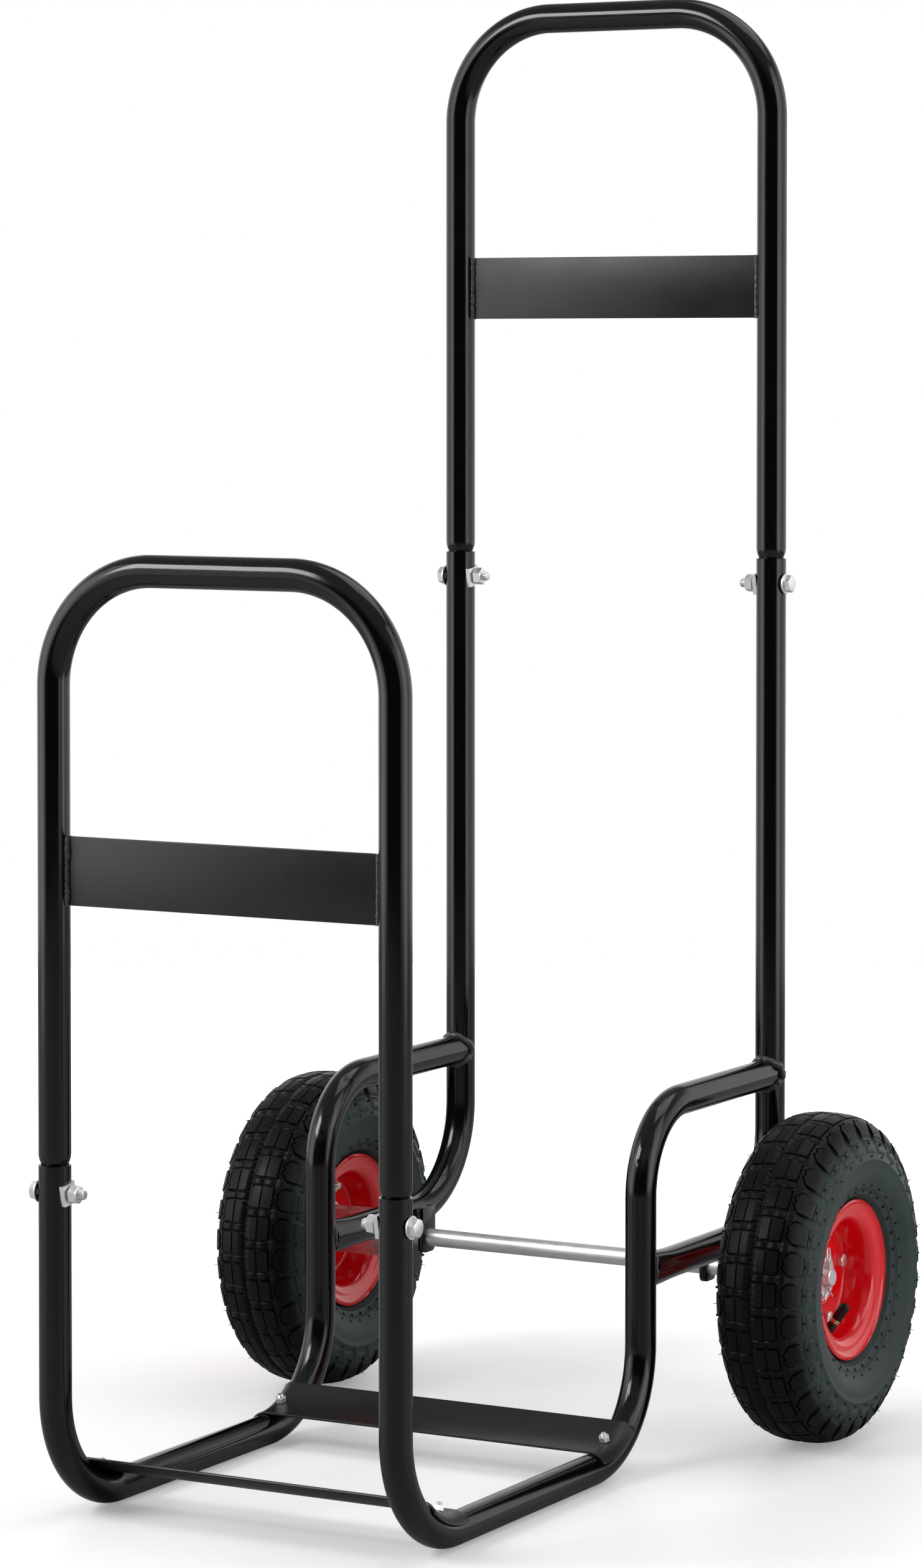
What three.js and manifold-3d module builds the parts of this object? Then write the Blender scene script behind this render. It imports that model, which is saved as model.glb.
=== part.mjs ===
// Fireside log cart: two bent side frames, two bolted hoops with flat plates, and two
// pneumatic wheels on one fixed axle. Millimetres, +Z up, +Y towards the wheels.
// The origin is on the floor, below the middle of the whole cart.
import * as THREE from 'three';
import { mergeGeometries, mergeVertices } from 'three/addons/utils/BufferGeometryUtils.js';
import Module from 'manifold-3d';

const wasm = await Module();
wasm.setup();

// ---------- driving dimensions ----------
const FIT_GAP = 0.3; // space left between pieces that touch

// tube frame: y is counted from the plane of the front uprights
const TUBE_DIAMETER = 25;
const TUBE_WALL = 1.5;
const TRACK = 298; // left to right tube, centre to centre
const CRADLE_DEPTH = 393; // front upright to the rise behind the cradle
const FRAME_DEPTH = 632; // front upright to rear leg
const SHELF_HEIGHT = 284; // centre line of the shelf runs
const RAIL_BEND = 85; // centre-line radius of the two floor bends
const SHELF_BEND = 70;
const LEG_BEND = 85;
const FRONT_JOINT_HEIGHT = 274; // top ends of the lower tubes
const REAR_JOINT_HEIGHT = 717;

// hoops
const HOOP_BEND = 88;
const FRONT_HOOP_HEIGHT = 726; // centre line of the top run
const REAR_HOOP_HEIGHT = 1175;
const NECK_LENGTH = 8; // taper above the lower tube
const NECK_GAP = 1.2; // bare spigot seen above the lower tube
const SPIGOT_DEPTH = 45;
const STRIP_WIDTH = 52.5;
const PLATE_THICKNESS = 3;
const FRONT_PLATE_BOTTOM = 472;
const REAR_PLATE_BOTTOM = 918.5;

// bolts through the hoop joints (M8)
const JOINT_BOLT = { diameter: 8, acrossFlats: 13, headHeight: 5.3, nutHeight: 6.5, stub: 4.5 };
const JOINT_WASHER = { outer: 17.5, thickness: 1.6 }; // held captive under the head
const JOINT_BOLT_DROP = 21; // below the top of the lower tube
const JOINT_HOLE_DIAMETER = 9;
const SADDLE_SIZE = 16;
const SADDLE_THICKNESS = 2.2; // at its thinnest, over the crown of the tube

// floor plates that tie the two rails, of the same strip as the hoop plates, on M5 weld studs
const FLOOR_PLATE_THICKNESS = 2;
const FLOOR_PLATE_WRAP = 65; // degrees that each end curls down the outside of its rail
const FLOOR_PLATE_SETBACK = 18.7; // degrees up the floor bend, to the middle of the plate
const STUD = { diameter: 5, acrossFlats: 8, nutHeight: 4, stub: 3 };
const STUD_HOLE_DIAMETER = 6;

// axle and what keeps the wheels on it
const AXLE_DIAMETER = 15;
const AXLE_DEPTH = 545; // behind the front uprights
const AXLE_OVERHANG = 4; // axle beyond the split pin
const BRACKET_WIDTH = 22;
const BRACKET_THICKNESS = 5;
const BRACKET_DROP = 12.7; // lowest edge, below the axle centre
const BRACKET_CORNER = 6;
const PIN_DIAMETER = 3.4;
const PIN_LENGTH = 24; // straight part, through the axle
const PIN_EYE_DIAMETER = 11;
const PIN_TAIL = 5; // end bent away
const AXLE_WASHER = { outer: 32, thickness: 2 };

// wheel: axial sizes run from its middle plane
const WHEEL_CENTRE = 235.4; // middle plane, from the middle of the cart
const TYRE_DIAMETER = 268;
const TYRE_WIDTH = 86.8;
const TYRE_WALL = 4.6;
const LUG_COUNT = 32;
const LUG_WIDTH = 18;
const LUG_DEPTH = 4;
const CENTRE_RIB_HALF_WIDTH = 12.5;
const RIM_SEAT_DIAMETER = 101.2; // bead seat
const RIM_FLANGE_DIAMETER = 130;
const RIM_HALF_WIDTH = 29.5;
const RIM_SHEET = 2;
const RIM_BOLT_CIRCLE = 72;
const RIM_BOLT_COUNT = 4;
const RIM_BOLT_PHASE = 13; // degrees
const RIM_BOLT = { diameter: 6, acrossFlats: 10, headHeight: 4, nutHeight: 5, stub: 3 };
const RIM_BOLT_HOLE_DIAMETER = 6.8;
const HUB_DIAMETER = 40;
const HUB_COLLAR_DIAMETER = 46;
const HUB_COLLAR_THICKNESS = 3;
const HUB_OUTER_END = 4; // beyond the middle plane
const BEARING = { bore: 15, outer: 35, width: 11, ringWall: 2.9, shieldDepth: 0.7 };
const TUBE_SKIN = 2; // inner tube
const VALVE_DIAMETER = 8.6;
const VALVE_LENGTH = 34;
const VALVE_RUBBER_LENGTH = 16;
const VALVE_CORE_DIAMETER = 5;
const VALVE_COLLAR_DIAMETER = 8;
const VALVE_BORE_DIAMETER = 2;
const VALVE_COLLAR_LENGTH = 2.5;
const VALVE_ROOT = 6; // stem below the bead seat, into the tube
const VALVE_OFFSET = 7; // foot of the valve, outwards from the middle plane
const VALVE_SWING = -7; // and sideways from straight below the axle
const VALVE_LEAN = [18, 7, 28.5]; // outwards, sideways, up to the axle

// how finely round forms are faceted
const TUBE_SIDES = 12;
const BORE_SIDES = 6;
const BEND_STEPS = 5;
const BOLT_SIDES = 6;
const WASHER_SIDES = 12;
const RIM_SIDES = 16;
const HUB_SIDES = 12;
const INNER_TUBE_SIDES = 8;

// ---------- sizes that follow ----------
const TUBE_RADIUS = TUBE_DIAMETER / 2;
const TUBE_CORNER = TUBE_RADIUS / Math.cos(Math.PI / TUBE_SIDES);
const BORE_CORNER = TUBE_CORNER - 0.7 * TUBE_WALL; // its flats leave more than the wall
const SPIGOT_CORNER = BORE_CORNER * Math.cos(Math.PI / BORE_SIDES) - FIT_GAP;
const SIDE_X = TRACK / 2;
const TYRE_RADIUS = TYRE_DIAMETER / 2;
const AXLE_HEIGHT = TYRE_RADIUS;
const BRACE_HEIGHT = AXLE_HEIGHT + AXLE_DIAMETER / 2 + FIT_GAP + TUBE_RADIUS;
const FRAME_MIDDLE = (AXLE_DEPTH + TYRE_RADIUS - TUBE_RADIUS) / 2;
const PIN_HOLE_RADIUS = PIN_DIAMETER / 2 + FIT_GAP;
const INNER_WASHER_X = SIDE_X + TUBE_RADIUS + FIT_GAP; // against the leg
const HUB_INNER_END = INNER_WASHER_X + AXLE_WASHER.thickness + FIT_GAP - WHEEL_CENTRE;
const OUTER_WASHER_X = WHEEL_CENTRE + HUB_OUTER_END + FIT_GAP;
const PIN_X = OUTER_WASHER_X + AXLE_WASHER.thickness + FIT_GAP + PIN_DIAMETER / 2;
const AXLE_HALF_LENGTH = PIN_X + AXLE_OVERHANG;

// ---------- finishes ----------
const FINISHES = {
  black_tube: { color: 0x14161a, roughness: 0.35, metalness: 0.2 },
  black_plate: { color: 0x26282c, roughness: 0.5, metalness: 0.2 },
  zinc: { color: 0xc9ccd0, roughness: 0.3, metalness: 0.9 },
  red_rim: { color: 0xc4101c, roughness: 0.25, metalness: 0.1 },
  tyre_rubber: { color: 0x22272a, roughness: 0.7, metalness: 0 },
  black_rubber: { color: 0x101214, roughness: 0.6, metalness: 0 },
};

// ---------- helpers: closed solids ----------
const X_AXIS = new THREE.Vector3(1, 0, 0);
const Y_AXIS = new THREE.Vector3(0, 1, 0);
const Z_AXIS = new THREE.Vector3(0, 0, 1);

// Vertex radius of a polygon whose flats, not corners, lie on the circle: for holes and seats.
const roundAbout = (radius, sides) => radius / Math.cos(Math.PI / sides);

// Position only, shared vertices merged, collapsed triangles dropped and faces turned outwards.
function closed(geometry) {
  const bare = new THREE.BufferGeometry();
  bare.setAttribute('position', geometry.getAttribute('position'));
  bare.setIndex(geometry.getIndex());
  const merged = mergeVertices(bare, 1e-4);
  const position = merged.getAttribute('position');
  const corners = merged.getIndex().array;
  const kept = [];
  let volume = 0;
  const [a, b, c] = [new THREE.Vector3(), new THREE.Vector3(), new THREE.Vector3()];
  for (let i = 0; i < corners.length; i += 3) {
    const [p, q, r] = [corners[i], corners[i + 1], corners[i + 2]];
    if (p === q || q === r || r === p) continue;
    kept.push(p, q, r);
    a.fromBufferAttribute(position, p);
    b.fromBufferAttribute(position, q);
    c.fromBufferAttribute(position, r);
    volume += a.dot(b.cross(c));
  }
  if (volume < 0) kept.reverse();
  merged.setIndex(kept);
  return merged;
}

function toSolid(geometry) {
  const mesh = closed(geometry);
  return new wasm.Manifold(
    new wasm.Mesh({
      numProp: 3,
      vertProperties: Float32Array.from(mesh.getAttribute('position').array),
      triVerts: Uint32Array.from(mesh.getIndex().array),
    }),
  );
}

function toGeometry(solid) {
  const mesh = solid.getMesh();
  const geometry = new THREE.BufferGeometry();
  geometry.setAttribute('position', new THREE.BufferAttribute(mesh.vertProperties, 3));
  geometry.setIndex(new THREE.BufferAttribute(mesh.triVerts, 1));
  return geometry;
}

function join(first, ...rest) {
  return toGeometry(rest.reduce((sum, one) => sum.add(toSolid(one)), toSolid(first)));
}

function cut(first, ...rest) {
  return toGeometry(rest.reduce((left, one) => left.subtract(toSolid(one)), toSolid(first)));
}

function polygon(radius, sides, phase = Math.PI / sides) {
  return Array.from({ length: sides }, (_, i) => {
    const angle = phase + (2 * Math.PI * i) / sides;
    return new THREE.Vector2(radius * Math.cos(angle), radius * Math.sin(angle));
  });
}

// A flat ring or prism along +Z: outer outline, optional hole, from z = 0 to z = height.
function prism(outer, hole, height) {
  const shape = new THREE.Shape(outer);
  if (hole) shape.holes.push(new THREE.Path(hole));
  return new THREE.ExtrudeGeometry(shape, { depth: height, bevelEnabled: false });
}

function rod(radius, sides, from, to) {
  return prism(polygon(radius, sides), null, to - from).translate(0, 0, from);
}

const TO_X = new THREE.Matrix4().makeBasis(Y_AXIS, Z_AXIS, X_AXIS);
const alongX = (geometry) => geometry.applyMatrix4(TO_X);
const hexagon = (acrossFlats) => polygon(roundAbout(acrossFlats / 2, 6), 6);

// A ring of revolution about X, its outline given as [radius, along] and closed by itself.
function revolve(outline, sides) {
  const points = [...outline, outline[0]].map(([radius, along]) => new THREE.Vector2(radius, along));
  return new THREE.LatheGeometry(points, sides, Math.PI / sides).rotateZ(-Math.PI / 2);
}

// A centre line of straight runs and true arcs, with a station only where the section turns.
class BentLine extends THREE.Curve {
  constructor(corners) {
    super();
    this.points = [];
    this.tangents = [];
    corners.forEach(({ at, bend = 0, steps = BEND_STEPS }, i) => {
      const into = i > 0 ? at.clone().sub(corners[i - 1].at).normalize() : null;
      const out = i < corners.length - 1 ? corners[i + 1].at.clone().sub(at).normalize() : into;
      if (!into || !bend) return this.station(at, into ?? out);
      const turn = into.angleTo(out);
      const axis = into.clone().cross(out).normalize();
      const start = at.clone().addScaledVector(into, -bend * Math.tan(turn / 2));
      const spoke = start.clone().addScaledVector(axis.clone().cross(into), bend);
      for (let step = 0; step <= steps; step += 1) {
        const angle = (turn * step) / steps;
        const point = start.clone().sub(spoke).applyAxisAngle(axis, angle).add(spoke);
        this.station(point, into.clone().applyAxisAngle(axis, angle));
      }
      return this;
    });
  }

  station(point, tangent) {
    this.points.push(point.clone());
    this.tangents.push(tangent.clone());
    return this;
  }

  get steps() {
    return this.points.length - 1;
  }

  getPoint(t, target = new THREE.Vector3()) {
    return target.copy(this.points[Math.round(t * this.steps)]);
  }

  getPointAt(u, target) {
    return this.getPoint(u, target);
  }

  getTangentAt(u, target = new THREE.Vector3()) {
    return target.copy(this.tangents[Math.round(u * this.steps)]);
  }
}

function sweep(line, outer, hole) {
  const shape = new THREE.Shape(outer);
  if (hole) shape.holes.push(new THREE.Path(hole));
  return new THREE.ExtrudeGeometry(shape, { extrudePath: line, steps: line.steps, bevelEnabled: false });
}

const frameTube = (corners) =>
  sweep(
    new BentLine(corners),
    polygon(TUBE_CORNER, TUBE_SIDES),
    polygon(BORE_CORNER, BORE_SIDES, Math.PI / TUBE_SIDES),
  );

const at = (x, y, z) => new THREE.Vector3(x, y, z);

// ---------- side frames ----------
// The two floor plates lie on the inside of the floor bends. `setback` turns about the middle
// of the bend, from straight down; what stands on the rail there is built with the middle of
// the tube at the origin and +Z towards the middle of the bend.
const FLOOR_PLATES = [
  { end: 'front', bendMiddle: RAIL_BEND, setback: -FLOOR_PLATE_SETBACK },
  { end: 'rear', bendMiddle: CRADLE_DEPTH - RAIL_BEND, setback: FLOOR_PLATE_SETBACK },
];
function onBend({ bendMiddle, setback }) {
  const lean = THREE.MathUtils.degToRad(setback);
  const depth = bendMiddle + RAIL_BEND * Math.sin(lean);
  const height = TUBE_RADIUS + RAIL_BEND * (1 - Math.cos(lean));
  return new THREE.Matrix4().makeRotationX(lean).setPosition(0, depth, height);
}

// The plate follows the bend in a few flats and clears the flats of the tube below it.
const FLOOR_PLATE_STEPS = 3;
const FLOOR_PLATE_SPAN = STRIP_WIDTH / (RAIL_BEND - TUBE_RADIUS);
const BEND_SAG = (RAIL_BEND - TUBE_RADIUS) * (1 - Math.cos(Math.PI / 4 / BEND_STEPS));
const FLOOR_PLATE_SEAT = TUBE_CORNER + BEND_SAG + FIT_GAP;
const FLOOR_PLATE_TOP = FLOOR_PLATE_SEAT + FLOOR_PLATE_THICKNESS;
const FLAT_RISE = (RAIL_BEND - FLOOR_PLATE_TOP) * (1 - Math.cos(FLOOR_PLATE_SPAN / 2 / FLOOR_PLATE_STEPS));
const STUD_NUT_SEAT = FLOOR_PLATE_TOP + FLAT_RISE + FIT_GAP;
const STUD_TOP = STUD_NUT_SEAT + STUD.nutHeight + STUD.stub;

// Front upright, floor run, rise and shelf run in one bent tube; its shelf end meets the leg.
// A weld stud for each floor plate stands on it.
function railGeometry() {
  const tube = frameTube([
    { at: at(0, 0, FRONT_JOINT_HEIGHT) },
    { at: at(0, 0, TUBE_RADIUS), bend: RAIL_BEND },
    { at: at(0, CRADLE_DEPTH, TUBE_RADIUS), bend: RAIL_BEND },
    { at: at(0, CRADLE_DEPTH, SHELF_HEIGHT), bend: SHELF_BEND },
    { at: at(0, FRAME_DEPTH - TUBE_RADIUS - FIT_GAP, SHELF_HEIGHT) },
  ]);
  const studs = FLOOR_PLATES.map((plate) =>
    rod(STUD.diameter / 2, BOLT_SIDES, TUBE_RADIUS - TUBE_WALL / 2, STUD_TOP).applyMatrix4(onBend(plate)),
  );
  return join(cut(tube, jointHole(0, FRONT_JOINT_HEIGHT)), ...studs);
}

// Rear leg: down from the hoop joint, then forwards over the axle to the rise.
function legGeometry() {
  const tube = frameTube([
    { at: at(0, FRAME_DEPTH, REAR_JOINT_HEIGHT) },
    { at: at(0, FRAME_DEPTH, BRACE_HEIGHT), bend: LEG_BEND },
    { at: at(0, CRADLE_DEPTH + TUBE_RADIUS + FIT_GAP, BRACE_HEIGHT) },
  ]);
  return cut(tube, jointHole(FRAME_DEPTH, REAR_JOINT_HEIGHT));
}

// Drill for the bolt of a hoop joint, through both walls of a tube on the plane x = 0.
function jointHole(depth, jointHeight) {
  const radius = roundAbout(JOINT_HOLE_DIAMETER / 2, BOLT_SIDES);
  const drill = alongX(rod(radius, BOLT_SIDES, -TUBE_DIAMETER, TUBE_DIAMETER));
  return drill.translate(0, depth, jointHeight - JOINT_BOLT_DROP);
}

// ---------- hoops ----------
// An upside-down U whose two ends are swaged down to plug into the lower tubes.
function hoopGeometry(jointHeight, topHeight) {
  const shoulder = jointHeight + NECK_GAP + NECK_LENGTH;
  const leg = (x) => [
    { at: at(x, 0, jointHeight - SPIGOT_DEPTH) },
    { at: at(x, 0, jointHeight + NECK_GAP) },
    { at: at(x, 0, shoulder) },
    { at: at(x, 0, topHeight), bend: HOOP_BEND },
  ];
  const tube = frameTube([...leg(-SIDE_X), ...leg(SIDE_X).reverse()]);
  const position = tube.getAttribute('position');
  const squeeze = SPIGOT_CORNER / TUBE_CORNER;
  for (let i = 0; i < position.count; i += 1) {
    if (position.getZ(i) > (shoulder + jointHeight) / 2 + NECK_GAP) continue;
    const axis = Math.sign(position.getX(i)) * SIDE_X;
    position.setX(i, axis + (position.getX(i) - axis) * squeeze);
    position.setY(i, position.getY(i) * squeeze);
  }
  const holes = [-SIDE_X, SIDE_X].map((x) => jointHole(0, jointHeight).translate(x, 0, 0));
  return cut(tube, ...holes);
}

function plateGeometry() {
  const width = TRACK - TUBE_DIAMETER - 2 * FIT_GAP;
  return new THREE.BoxGeometry(width, PLATE_THICKNESS, STRIP_WIDTH).translate(0, 0, STRIP_WIDTH / 2);
}

// ---------- fasteners, each along +Z from its seat at z = 0 ----------
// A bolt with its head above the seat, on a captive washer where it has one.
function boltGeometry({ diameter, acrossFlats, headHeight }, shankLength, washer) {
  const base = washer?.thickness ?? 0;
  const head = prism(hexagon(acrossFlats), null, headHeight).translate(0, 0, base);
  const shank = rod(diameter / 2, BOLT_SIDES, -shankLength, base + headHeight / 2);
  const bolt = join(head, shank);
  return washer ? join(bolt, rod(washer.outer / 2, WASHER_SIDES, 0, base)) : bolt;
}

function nutGeometry({ diameter, acrossFlats, nutHeight }) {
  const bore = polygon(roundAbout(diameter / 2 + FIT_GAP / 2, BOLT_SIDES), BOLT_SIDES);
  return prism(hexagon(acrossFlats), bore, nutHeight);
}

// Saddle washer: hollowed to sit on the tube, flat under the nut. Its flat faces +X.
const SADDLE_SEAT = TUBE_CORNER + FIT_GAP;
const SADDLE_FLAT = SADDLE_SEAT + SADDLE_THICKNESS;
const SADDLE_STEPS = 4;
function saddleGeometry() {
  const half = SADDLE_SIZE / 2;
  const reach = Math.asin(half / SADDLE_SEAT);
  const outline = [new THREE.Vector2(SADDLE_FLAT, -half), new THREE.Vector2(SADDLE_FLAT, half)];
  for (let step = 0; step <= SADDLE_STEPS; step += 1) {
    const angle = reach - (2 * reach * step) / SADDLE_STEPS;
    outline.push(new THREE.Vector2(SADDLE_SEAT * Math.cos(angle), SADDLE_SEAT * Math.sin(angle)));
  }
  const block = prism(outline, null, SADDLE_SIZE).translate(0, 0, -half);
  return cut(block, alongX(rod(JOINT_HOLE_DIAMETER / 2, BOLT_SIDES, 0, TUBE_DIAMETER)));
}

// ---------- assembly ----------
const cart = new THREE.Group();
cart.position.y = -FRAME_MIDDLE;

function add(parent, name, geometry, finish) {
  const mesh = new THREE.Mesh(closed(geometry), new THREE.MeshStandardMaterial(FINISHES[finish]));
  mesh.name = name;
  parent.add(mesh);
  return mesh;
}

const SIDES = [
  { side: 'left', sign: -1 },
  { side: 'right', sign: 1 },
];

for (const { side, sign } of SIDES) {
  add(cart, `${side}_rail`, railGeometry(), 'black_tube').position.x = sign * SIDE_X;
  add(cart, `${side}_rear_leg`, legGeometry(), 'black_tube').position.x = sign * SIDE_X;
}

// Each hoop with its plate and the bolt, saddle washer and nut of its two joints.
const HOOPS = [
  {
    end: 'front',
    depth: 0,
    joint: FRONT_JOINT_HEIGHT,
    top: FRONT_HOOP_HEIGHT,
    plate: FRONT_PLATE_BOTTOM,
  },
  {
    end: 'rear',
    depth: FRAME_DEPTH,
    joint: REAR_JOINT_HEIGHT,
    top: REAR_HOOP_HEIGHT,
    plate: REAR_PLATE_BOTTOM,
  },
];
const HEAD_SEAT = TUBE_RADIUS + FIT_GAP;
const NUT_SEAT = SADDLE_FLAT + FIT_GAP;
const JOINT_SHANK = HEAD_SEAT + NUT_SEAT + JOINT_BOLT.nutHeight + JOINT_BOLT.stub;
for (const { end, depth, joint, top, plate } of HOOPS) {
  const hoop = new THREE.Group();
  hoop.position.y = depth;
  cart.add(hoop);
  add(hoop, `${end}_hoop`, hoopGeometry(joint, top), 'black_tube');
  add(hoop, `${end}_hoop_plate`, plateGeometry(), 'black_plate').position.z = plate;

  for (const { side, sign } of SIDES) {
    const corner = new THREE.Group();
    corner.position.set(sign * SIDE_X, 0, joint - JOINT_BOLT_DROP);
    corner.rotation.z = sign > 0 ? 0 : Math.PI;
    hoop.add(corner);
    const bolt = alongX(boltGeometry(JOINT_BOLT, JOINT_SHANK, JOINT_WASHER));
    const saddle = saddleGeometry().rotateZ(Math.PI);
    const nut = alongX(nutGeometry(JOINT_BOLT));
    add(corner, `${end}_${side}_joint_bolt`, bolt, 'zinc').position.x = HEAD_SEAT;
    add(corner, `${end}_${side}_saddle_washer`, saddle, 'zinc');
    add(corner, `${end}_${side}_joint_nut`, nut, 'zinc').position.x = -NUT_SEAT - JOINT_BOLT.nutHeight;
  }
}

// ---------- floor plates ----------
const CURL_STEPS = 4;

// One face of the plate seen from its end, from the left curl to the right one.
function plateFace(radius) {
  const half = Array.from({ length: CURL_STEPS + 1 }, (_, step) => {
    const angle = THREE.MathUtils.degToRad((FLOOR_PLATE_WRAP * step) / CURL_STEPS);
    return new THREE.Vector2(SIDE_X + radius * Math.sin(angle), radius * Math.cos(angle));
  });
  return [...half.map(({ x, y }) => new THREE.Vector2(-x, y)).reverse(), ...half];
}

// The strip swept along the bend of the rails' centre lines, its middle over the stud.
function floorPlateGeometry() {
  const line = new BentLine([]);
  for (let step = 0; step <= FLOOR_PLATE_STEPS; step += 1) {
    const angle = FLOOR_PLATE_SPAN * (step / FLOOR_PLATE_STEPS - 0.5);
    const [across, up] = [Math.sin(angle), Math.cos(angle)];
    line.station(at(0, RAIL_BEND * across, RAIL_BEND * (1 - up)), at(0, up, across));
  }
  const outline = [...plateFace(FLOOR_PLATE_TOP), ...plateFace(FLOOR_PLATE_SEAT).reverse()];
  const radius = roundAbout(STUD_HOLE_DIAMETER / 2, BOLT_SIDES);
  const drills = SIDES.map(({ sign }) =>
    rod(radius, BOLT_SIDES, 0, 2 * FLOOR_PLATE_TOP).translate(sign * SIDE_X, 0, 0),
  );
  return cut(sweep(line, outline, null), ...drills);
}

for (const plate of FLOOR_PLATES) {
  const seat = new THREE.Group();
  seat.applyMatrix4(onBend(plate));
  cart.add(seat);
  add(seat, `${plate.end}_floor_plate`, floorPlateGeometry(), 'black_plate');
  for (const { side, sign } of SIDES) {
    const nut = add(seat, `${plate.end}_${side}_floor_plate_nut`, nutGeometry(STUD), 'zinc');
    nut.position.set(sign * SIDE_X, 0, STUD_NUT_SEAT);
  }
}

// ---------- axle, brackets and retainers ----------
const axleGroup = new THREE.Group();
axleGroup.position.set(0, AXLE_DEPTH, AXLE_HEIGHT);
cart.add(axleGroup);

function axleGeometry() {
  const bar = alongX(rod(AXLE_DIAMETER / 2, TUBE_SIDES, -AXLE_HALF_LENGTH, AXLE_HALF_LENGTH));
  const drills = SIDES.map(({ sign }) =>
    rod(PIN_HOLE_RADIUS, BOLT_SIDES, -AXLE_DIAMETER, AXLE_DIAMETER).translate(sign * PIN_X, 0, 0),
  );
  return cut(bar, ...drills);
}

// Tab on the inner face of the leg, welded there, with the axle through it. Its top follows the
// leg's centre line, which climbs where the axle stands under the bend.
const INTO_BEND = Math.min(Math.max(AXLE_DEPTH - FRAME_DEPTH + LEG_BEND, 0), LEG_BEND);
const LEG_RISE = LEG_BEND - Math.sqrt(LEG_BEND ** 2 - INTO_BEND ** 2);
const BRACKET_TOP = BRACE_HEIGHT + LEG_RISE - AXLE_HEIGHT + TUBE_RADIUS / 2;
function bracketGeometry() {
  const half = BRACKET_WIDTH / 2;
  const corner = BRACKET_CORNER - BRACKET_DROP; // height of the rounded corners' centres
  const shape = new THREE.Shape();
  shape.moveTo(half, BRACKET_TOP);
  shape.lineTo(-half, BRACKET_TOP);
  shape.lineTo(-half, corner);
  shape.absarc(BRACKET_CORNER - half, corner, BRACKET_CORNER, Math.PI, 1.5 * Math.PI);
  shape.absarc(half - BRACKET_CORNER, corner, BRACKET_CORNER, 1.5 * Math.PI, 2 * Math.PI);
  const bore = polygon(roundAbout(AXLE_DIAMETER / 2 + FIT_GAP, TUBE_SIDES), TUBE_SIDES);
  shape.holes.push(new THREE.Path(bore));
  const settings = { depth: BRACKET_THICKNESS, bevelEnabled: false, curveSegments: 3 };
  return alongX(new THREE.ExtrudeGeometry(shape, settings));
}

function axleWasherGeometry() {
  const bore = polygon(roundAbout(AXLE_DIAMETER / 2 + FIT_GAP, TUBE_SIDES), TUBE_SIDES);
  return alongX(prism(polygon(AXLE_WASHER.outer / 2, TUBE_SIDES), bore, AXLE_WASHER.thickness));
}

// Split pin: an eye above the axle, the shank through it and the end bent away.
function splitPinGeometry() {
  const eye = PIN_EYE_DIAMETER / 2;
  const reach = PIN_LENGTH / 2;
  const corner = { bend: 0.48 * eye, steps: 2 };
  const line = new BentLine([
    { at: at(0, -eye, reach + eye / 4) },
    { at: at(0, -eye, reach + 2 * eye), ...corner },
    { at: at(0, 0, reach + 2 * eye), ...corner },
    { at: at(0, 0, -reach), bend: PIN_DIAMETER, steps: 1 },
    { at: at(0, -PIN_TAIL, -reach - PIN_TAIL) },
  ]);
  return sweep(line, polygon(PIN_DIAMETER / 2, 6), null);
}

add(axleGroup, 'axle', axleGeometry(), 'zinc');
for (const { side, sign } of SIDES) {
  const sideGroup = new THREE.Group();
  sideGroup.rotation.z = sign > 0 ? 0 : Math.PI;
  axleGroup.add(sideGroup);
  const bracket = add(sideGroup, `${side}_axle_bracket`, bracketGeometry(), 'black_tube');
  bracket.position.x = SIDE_X - TUBE_RADIUS - FIT_GAP - BRACKET_THICKNESS;
  const inner = add(sideGroup, `${side}_inner_axle_washer`, axleWasherGeometry(), 'zinc');
  inner.position.x = INNER_WASHER_X;
  const outer = add(sideGroup, `${side}_outer_axle_washer`, axleWasherGeometry(), 'zinc');
  outer.position.x = OUTER_WASHER_X;
  add(sideGroup, `${side}_split_pin`, splitPinGeometry(), 'zinc').position.x = PIN_X;
}

// ---------- wheel ----------
// Outlines are [radius, distance outwards from the middle plane]; a wheel is built for the right
// side, with +X outwards, and turned about for the left.
const SEAT_RADIUS = RIM_SEAT_DIAMETER / 2;
const FLANGE_RADIUS = RIM_FLANGE_DIAMETER / 2;
const HUB_RADIUS = HUB_DIAMETER / 2;
const BOLT_CIRCLE_RADIUS = RIM_BOLT_CIRCLE / 2;
const DISC_FLAT_RADIUS = BOLT_CIRCLE_RADIUS + 7;
const BEAD_HALF_WIDTH = RIM_HALF_WIDTH - 4.5;

const mirrored = (outline) => outline.map(([radius, along]) => [radius, -along]).reverse();

// Sheet of even thickness along a middle line: the outline of one side and back along the other.
function sheetOutline(middle, thickness) {
  const line = middle.map(([radius, along]) => new THREE.Vector2(radius, along));
  const offset = (distance) =>
    line.map((point, i) => {
      const into = point.clone().sub(line[Math.max(i - 1, 0)]).normalize();
      const out = line[Math.min(i + 1, line.length - 1)].clone().sub(point).normalize();
      const way = into.clone().add(out).normalize();
      const mitre = distance / way.dot(i > 0 ? into : out);
      return [point.x - way.y * mitre, point.y + way.x * mitre];
    });
  return [...offset(thickness / 2), ...offset(-thickness / 2).reverse()];
}

// The same piece or drill at each place round the bolt circle.
function roundBoltCircle(make) {
  return Array.from({ length: RIM_BOLT_COUNT }, (_, i) => {
    const angle = THREE.MathUtils.degToRad(RIM_BOLT_PHASE) + (2 * Math.PI * i) / RIM_BOLT_COUNT;
    return make().translate(0, BOLT_CIRCLE_RADIUS, 0).rotateX(angle);
  });
}

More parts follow.
